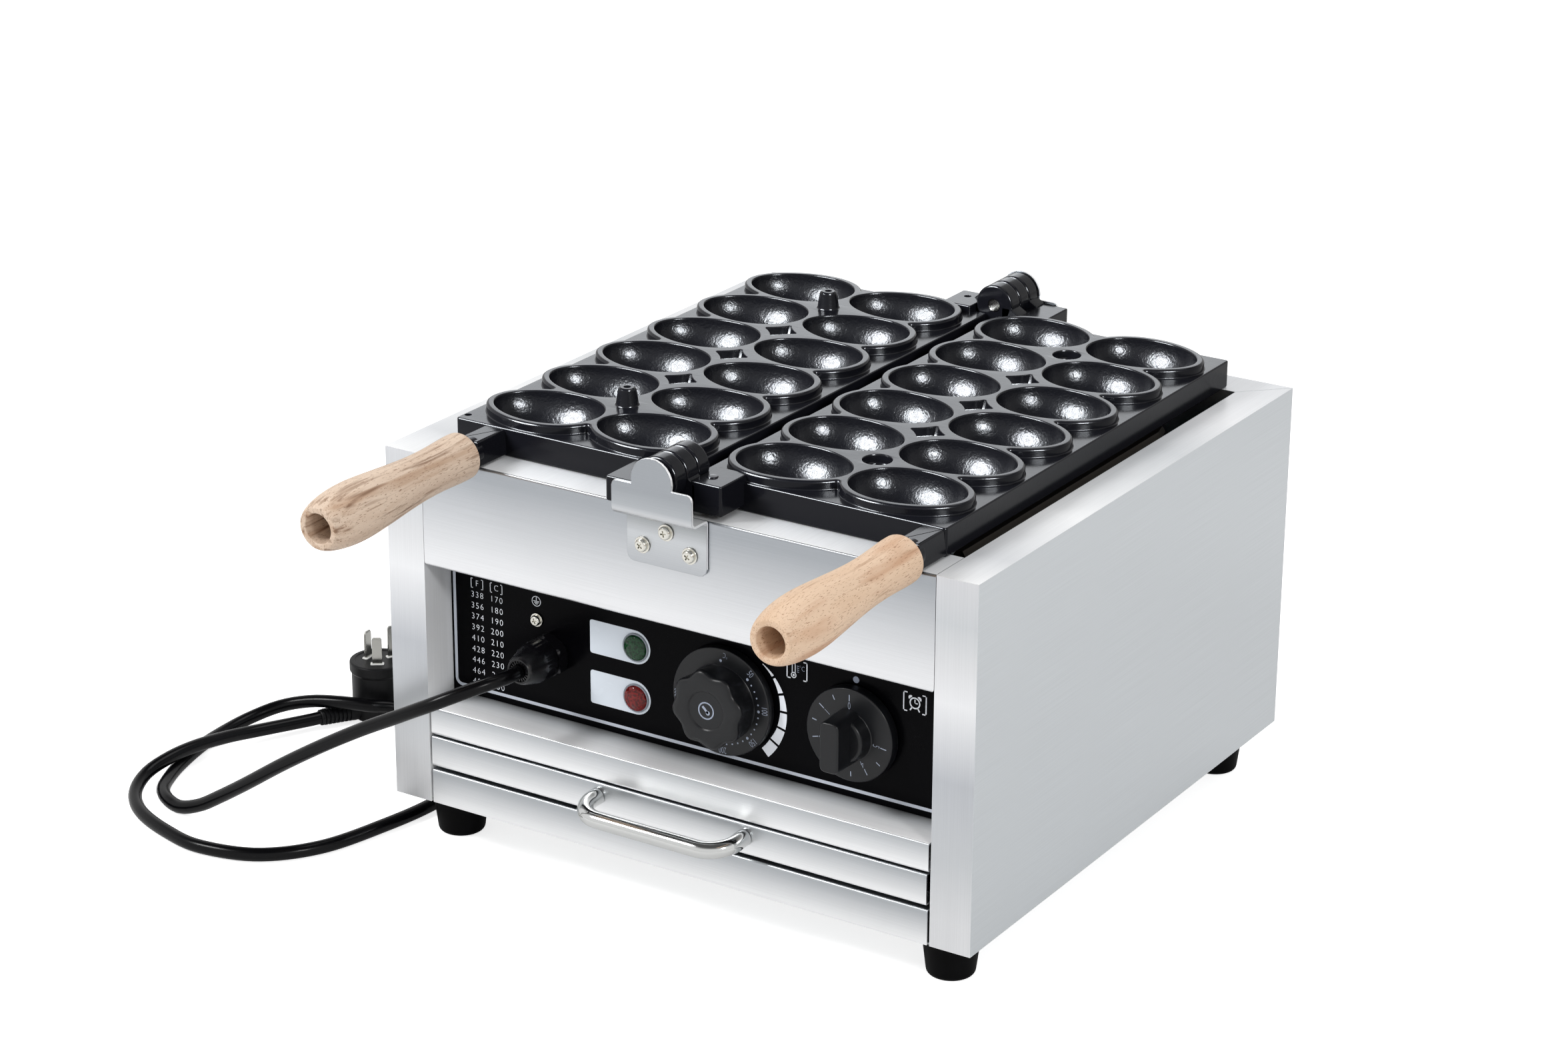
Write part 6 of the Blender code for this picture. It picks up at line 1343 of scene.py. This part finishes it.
# Plug lying on its back, pins up: radii and heights above the table in mm
plugLook = {"x": -320.4, "y": 135.7, "radius": 18.7, "height": 39.0, "flange": 6.4, "taper": 1.2,
            "heading": 244.0,
            "reliefStart": 16.5, "reliefLength": 26.5, "root": 6.6, "tip": 5.2, "pinWidth": 6.4,
            "pinThick": 1.6,
            "ring": 7.9, "earthRing": 10.3, "spread": 60.0, "pinLength": 18.0, "earthLength": 21.0}


def makePlug():
    look, body = plugLook, newShape()
    floor = -footLook["height"]
    here = Matrix.Translation((look["x"], look["y"], floor))
    r, high, narrow = look["radius"], look["height"], look["radius"] - look["taper"]
    profile = filleted([(0.0, 0.0), (narrow, 0.0, 2.2), (narrow, high - look["flange"] - 1.6, 0.8),
                        (r, high - look["flange"], 0.8),
                        (r, high, 1.4), (r - 3.2, high, 0.3), (r - 3.6, high - 0.5, 0.3), (0.0, high - 0.5)],
                        5)
    addTurned(body, profile, here, 72)
    way = here @ Matrix.Rotation(math.radians(look["heading"]), 4,
                                 "Z") @ Matrix.Translation((0, 0, look["root"] + 0.3)) \
        @ Matrix.Rotation(math.pi / 2, 4, "Y")
    length = look["reliefStart"] + look["reliefLength"]
    relief = [(0.0, 8.0), (look["root"] - 0.1, 8.0), (look["root"], look["reliefStart"] + 3)]
    ribs = 7
    for k in range(ribs):                     # ribs that let the end of the relief bend
        a = look["reliefStart"] + 5 + k * (look["reliefLength"] - 6.5) / ribs
        b = a + (look["reliefLength"] - 6.5) / ribs
        share = (a - look["reliefStart"]) / look["reliefLength"]
        thick = look["root"] + (look["tip"] - look["root"]) * share
        relief += [(thick, a), (thick, a + (b - a) * 0.5), (thick - 0.9, a + (b - a) * 0.6),
                   (thick - 0.9, a + (b - a) * 0.95)]
    relief += [(look["tip"], length - 2.2), (look["tip"], length - 0.5), (look["tip"] - 0.5, length),
               (0.0, length)]
    addTurned(body, relief, way, 40)
    makePiece("plug_moulded", body, plugPvc, "housing", ("plug_body",), smooth=40)

    face, w, t = high, look["pinWidth"] / 2, look["pinThick"] / 2
    collars = newShape()
    pins = (("live", look["spread"], look["ring"], look["pinLength"], t, w),
            ("neutral", -look["spread"], look["ring"], look["pinLength"], t, w),
            ("earth", 180.0, look["earthRing"], look["earthLength"], w, t))
    for name, degrees, ring, length, halfX, halfY in pins:
        turn = here @ Matrix.Rotation(math.radians(look["heading"] + degrees), 4,
                                      "Z") @ Matrix.Translation((ring, 0, 0))
        pin = newShape()
        outline = box2d(-halfX, halfX, -halfY, halfY, 0.3, 2)
        slim = [(x * (1 - 0.9 / halfX if halfX > 1 else 0.6), y * (1 - 0.9 / halfY if halfY > 1 else 0.6))
                for x, y in outline]
        addLoft(pin,
                [[(x, y, face - 9) for x, y in outline], [(x, y, face + length - 1.5) for x, y in outline],
                      [(x, y, face + length) for x, y in slim]], turn)
        makePiece("pin_" + name, pin, pinNickel, "housing", ("plug_pin_" + name,), smooth=30)
        rim = box2d(-halfX - 1.2, halfX + 1.2, -halfY - 1.2, halfY + 1.2, 1.1, 3)
        addSlab(collars, rim, face - 0.8, face + 0.15, 0.2, turn, 2)
    makePiece("plug_pin_collars", collars, collarNylon, "housing", smooth=40)


makePlug()
print("plug made")

# Camera, floor and light
view = {"lens": 88.07, "place": (1.12812, -1.78877, 1.01296), "turn": (69.0209, -0.2826, 32.5096)}
lens = bpy.data.cameras.new("camera")
lens.lens = view["lens"]
lens.sensor_width = 36
lens.sensor_fit = "HORIZONTAL"
lens.clip_end = 50
camera = bpy.data.objects.new("camera", lens)
camera.location = view["place"]
camera.rotation_euler = [math.radians(a) for a in view["turn"]]
bpy.context.scene.collection.objects.link(camera)
bpy.context.scene.camera = camera
bpy.context.scene.view_settings.view_transform = "Standard"

studio = {"room": 0.62, "ceiling": 0.10, "horizon": 0.95, "floor": "#E4E4E4", "seenGlow": 0.75,
          "mirrorGlow": 0.12}


# even light, with the backdrop for the camera and for reflections
def makeRoom():
    world = bpy.data.worlds.new("studio_room")
    bpy.context.scene.world = world
    world.use_nodes = True
    world.node_tree.nodes.clear()
    direction = addNode(world, "ShaderNodeTexCoord").outputs["Generated"]
    height = addNode(world, "ShaderNodeSeparateXYZ", {"Vector": direction}).outputs["Z"]
    bands = stops(addNode(world, "ShaderNodeValToRGB", {"Fac": height}),
                  [(0.0, grey(studio["horizon"])), (0.52, grey(studio["horizon"])),
                   (0.80, grey(studio["ceiling"]))])
    path = addNode(world, "ShaderNodeLightPath")
    mirrored = addNode(world, "ShaderNodeMath", {0: path.outputs["Is Glossy Ray"],
                                                 1: path.outputs["Is Transmission Ray"]}, operation="MAXIMUM")
    room = addNode(world, "ShaderNodeBackground", {"Color": grey(1.0), "Strength": studio["room"]})
    seen = addNode(world, "ShaderNodeBackground", {"Color": bands.outputs[0], "Strength": 1.0})
    white = addNode(world, "ShaderNodeBackground", {"Color": grey(1.0), "Strength": 1.0})
    first = addNode(world, "ShaderNodeMixShader",
                    {0: mirrored.outputs[0], 1: room.outputs[0], 2: seen.outputs[0]})
    second = addNode(world, "ShaderNodeMixShader", {0: path.outputs["Is Camera Ray"], 1: first.outputs[0],
                                                    2: white.outputs[0]})
    addNode(world, "ShaderNodeOutputWorld", {"Surface": second.outputs[0]})


def makeFloor():                              # pale paper that keeps the shadow under the machine
    material, shader = newMaterial("paper_floor", {"Base Color": linear(studio["floor"]), "Roughness": 0.9,
                                                   "Specular IOR Level": 0.0})
    path = addNode(material, "ShaderNodeLightPath")
    seen = addNode(material, "ShaderNodeMath", {0: path.outputs["Is Camera Ray"], 1: studio["seenGlow"]},
                   operation="MULTIPLY")
    glow = addNode(material, "ShaderNodeMath",
                   {0: path.outputs["Is Glossy Ray"], 1: studio["mirrorGlow"], 2: seen.outputs[0]},
                   operation="MULTIPLY_ADD")
    shader.inputs["Emission Color"].default_value = grey(1.0)
    join(material, glow.outputs[0], shader, "Emission Strength")
    mesh = bpy.data.meshes.new("floor")
    size, level = 9.0, 0.0
    mesh.from_pydata([(-size, -size, level), (size, -size, level), (size, size, level), (-size, size, level)],
                     [],
                     [(0, 1, 2, 3)])
    floor = bpy.data.objects.new("floor", mesh)
    mesh.materials.append(material)
    bpy.context.scene.collection.objects.link(floor)


# Two soft boxes in front and a weak one overhead, and three lamps that only the castings see
lamps = {
    "softbox_left": {"azimuth": -42, "elevation": 36, "distance": 1.9, "size": 0.50, "power": 16},
    "softbox_right": {"azimuth": 58, "elevation": 27, "distance": 1.9, "size": 0.26, "power": 7},
    "softbox_top": {"azimuth": 150, "elevation": 70, "distance": 2.0, "size": 1.2, "power": 9},
    "castings_left": {"azimuth": -42, "elevation": 36, "distance": 1.9, "size": 1.0, "power": 430,
                      "castings": True},
    "castings_right": {"azimuth": 58, "elevation": 27, "distance": 1.9, "size": 0.55, "power": 170,
                       "castings": True},
    "castings_back": {"azimuth": 212, "elevation": 23, "distance": 2.6, "size": 1.5, "power": 11,
                      "castings": True},
}

castings = bpy.data.collections.new("castings")
for name in ("cast_plate_left", "cast_plate_right"):
    castings.objects.link(bpy.data.objects[name])


def makeLamps():
    aim = Vector((0, 0.06, 0.2))
    for name, look in lamps.items():
        data = bpy.data.lights.new(name, "AREA")
        data.shape = "DISK"
        data.size = look["size"]
        data.energy = look["power"]
        azimuth, elevation = math.radians(look["azimuth"]), math.radians(look["elevation"])
        out = Vector((math.sin(azimuth) * math.cos(elevation), -math.cos(azimuth) * math.cos(elevation),
                      math.sin(elevation)))
        lamp = bpy.data.objects.new(name, data)
        lamp.location = aim + out * look["distance"]
        lamp.rotation_euler = (-out).to_track_quat("-Z", "Y").to_euler()
        bpy.context.scene.collection.objects.link(lamp)
        lamp.visible_camera = False
        if look.get("castings"):              # these only light the black castings, which take so little
            data.color = (0.90, 0.945, 1.0)
            lamp.light_linking.receiver_collection = castings


makeRoom()
makeFloor()
makeLamps()
print("camera, floor and lamps placed")

# Mains lead
leadLook = {"thickness": 8.4, "length": 1.119, "step": 5, "lowest": -0.0239}     # mm, metres, mm, metres
# Route from the gland over the table to the plug, in metres from the front plane and the box bottom
cordRoute = [
    (-0.1010, -0.0079, 0.1045), (-0.1010, -0.0160, 0.1045), (-0.1027, -0.0225, 0.1044),
    (-0.1066, -0.0310, 0.1036),
    (-0.1133, -0.0397, 0.1010), (-0.1220, -0.0464, 0.0970), (-0.1321, -0.0506, 0.0919),
    (-0.1430, -0.0520, 0.0862),
    (-0.1580, -0.0523, 0.0781), (-0.1850, -0.0520, 0.0634), (-0.2150, -0.0520, 0.0456),
    (-0.2450, -0.0520, 0.0264),
    (-0.2750, -0.0515, 0.0058), (-0.2980, -0.0508, -0.0093), (-0.3130, -0.0510, -0.0182),
    (-0.3290, -0.0510, -0.0236),
    (-0.3430, -0.0467, -0.0236), (-0.3550, -0.0370, -0.0236), (-0.3632, -0.0220, -0.0236),
    (-0.3705, -0.0028, -0.0236),
    (-0.3780, 0.0266, -0.0236), (-0.3806, 0.0530, -0.0236), (-0.3772, 0.0740, -0.0215),
    (-0.3662, 0.0905, -0.0170),
    (-0.3480, 0.0995, -0.0125), (-0.3270, 0.1055, -0.0105), (-0.3085, 0.1122, -0.0110),
    (-0.2988, 0.1217, -0.0130),
    (-0.2760, 0.1330, -0.0190), (-0.2510, 0.1360, -0.0236), (-0.2270, 0.1260, -0.0236),
    (-0.2100, 0.1030, -0.0236),
    (-0.2030, 0.0700, -0.0236), (-0.2020, 0.0358, -0.0236), (-0.2075, -0.0007, -0.0236),
    (-0.2205, -0.0468, -0.0236),
    (-0.2458, -0.0765, -0.0236), (-0.2822, -0.0870, -0.0236), (-0.3118, -0.0823, -0.0236),
    (-0.3430, -0.0703, -0.0235),
    (-0.3634, -0.0535, -0.0225), (-0.3727, -0.0331, -0.0195), (-0.3708, -0.0138, -0.0155),
    (-0.3680, 0.0081, -0.0149),
    (-0.3644, 0.0344, -0.0175), (-0.3581, 0.0585, -0.0203), (-0.34306, 0.08923, -0.0212),
    (-0.33938, 0.09678, -0.0212),
]


def makeCord():
    curve = bpy.data.curves.new("mains_cord", "CURVE")
    curve.dimensions = "3D"
    curve.bevel_depth = leadLook["thickness"] / 2 / metre
    curve.bevel_resolution = 6
    curve.use_fill_caps = True
    line = smoothLine(cordRoute, leadLook["step"] / metre)
    spline = curve.splines.new("POLY")
    spline.points.add(len(line) - 1)
    spline.use_smooth = True
    for point, place in zip(spline.points, line):
        point.co = (place.x, place.y + frontPlane, max(place.z, leadLook["lowest"]) + boxBottom, 1)
    cord = bpy.data.objects.new("mains_cord", curve)
    curve.materials.append(cordPvc)
    bpy.context.scene.collection.objects.link(cord)
    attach(cord, "housing")
    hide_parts("power_cord")
    return cord


mainsCord = makeCord()
print("cord laid")
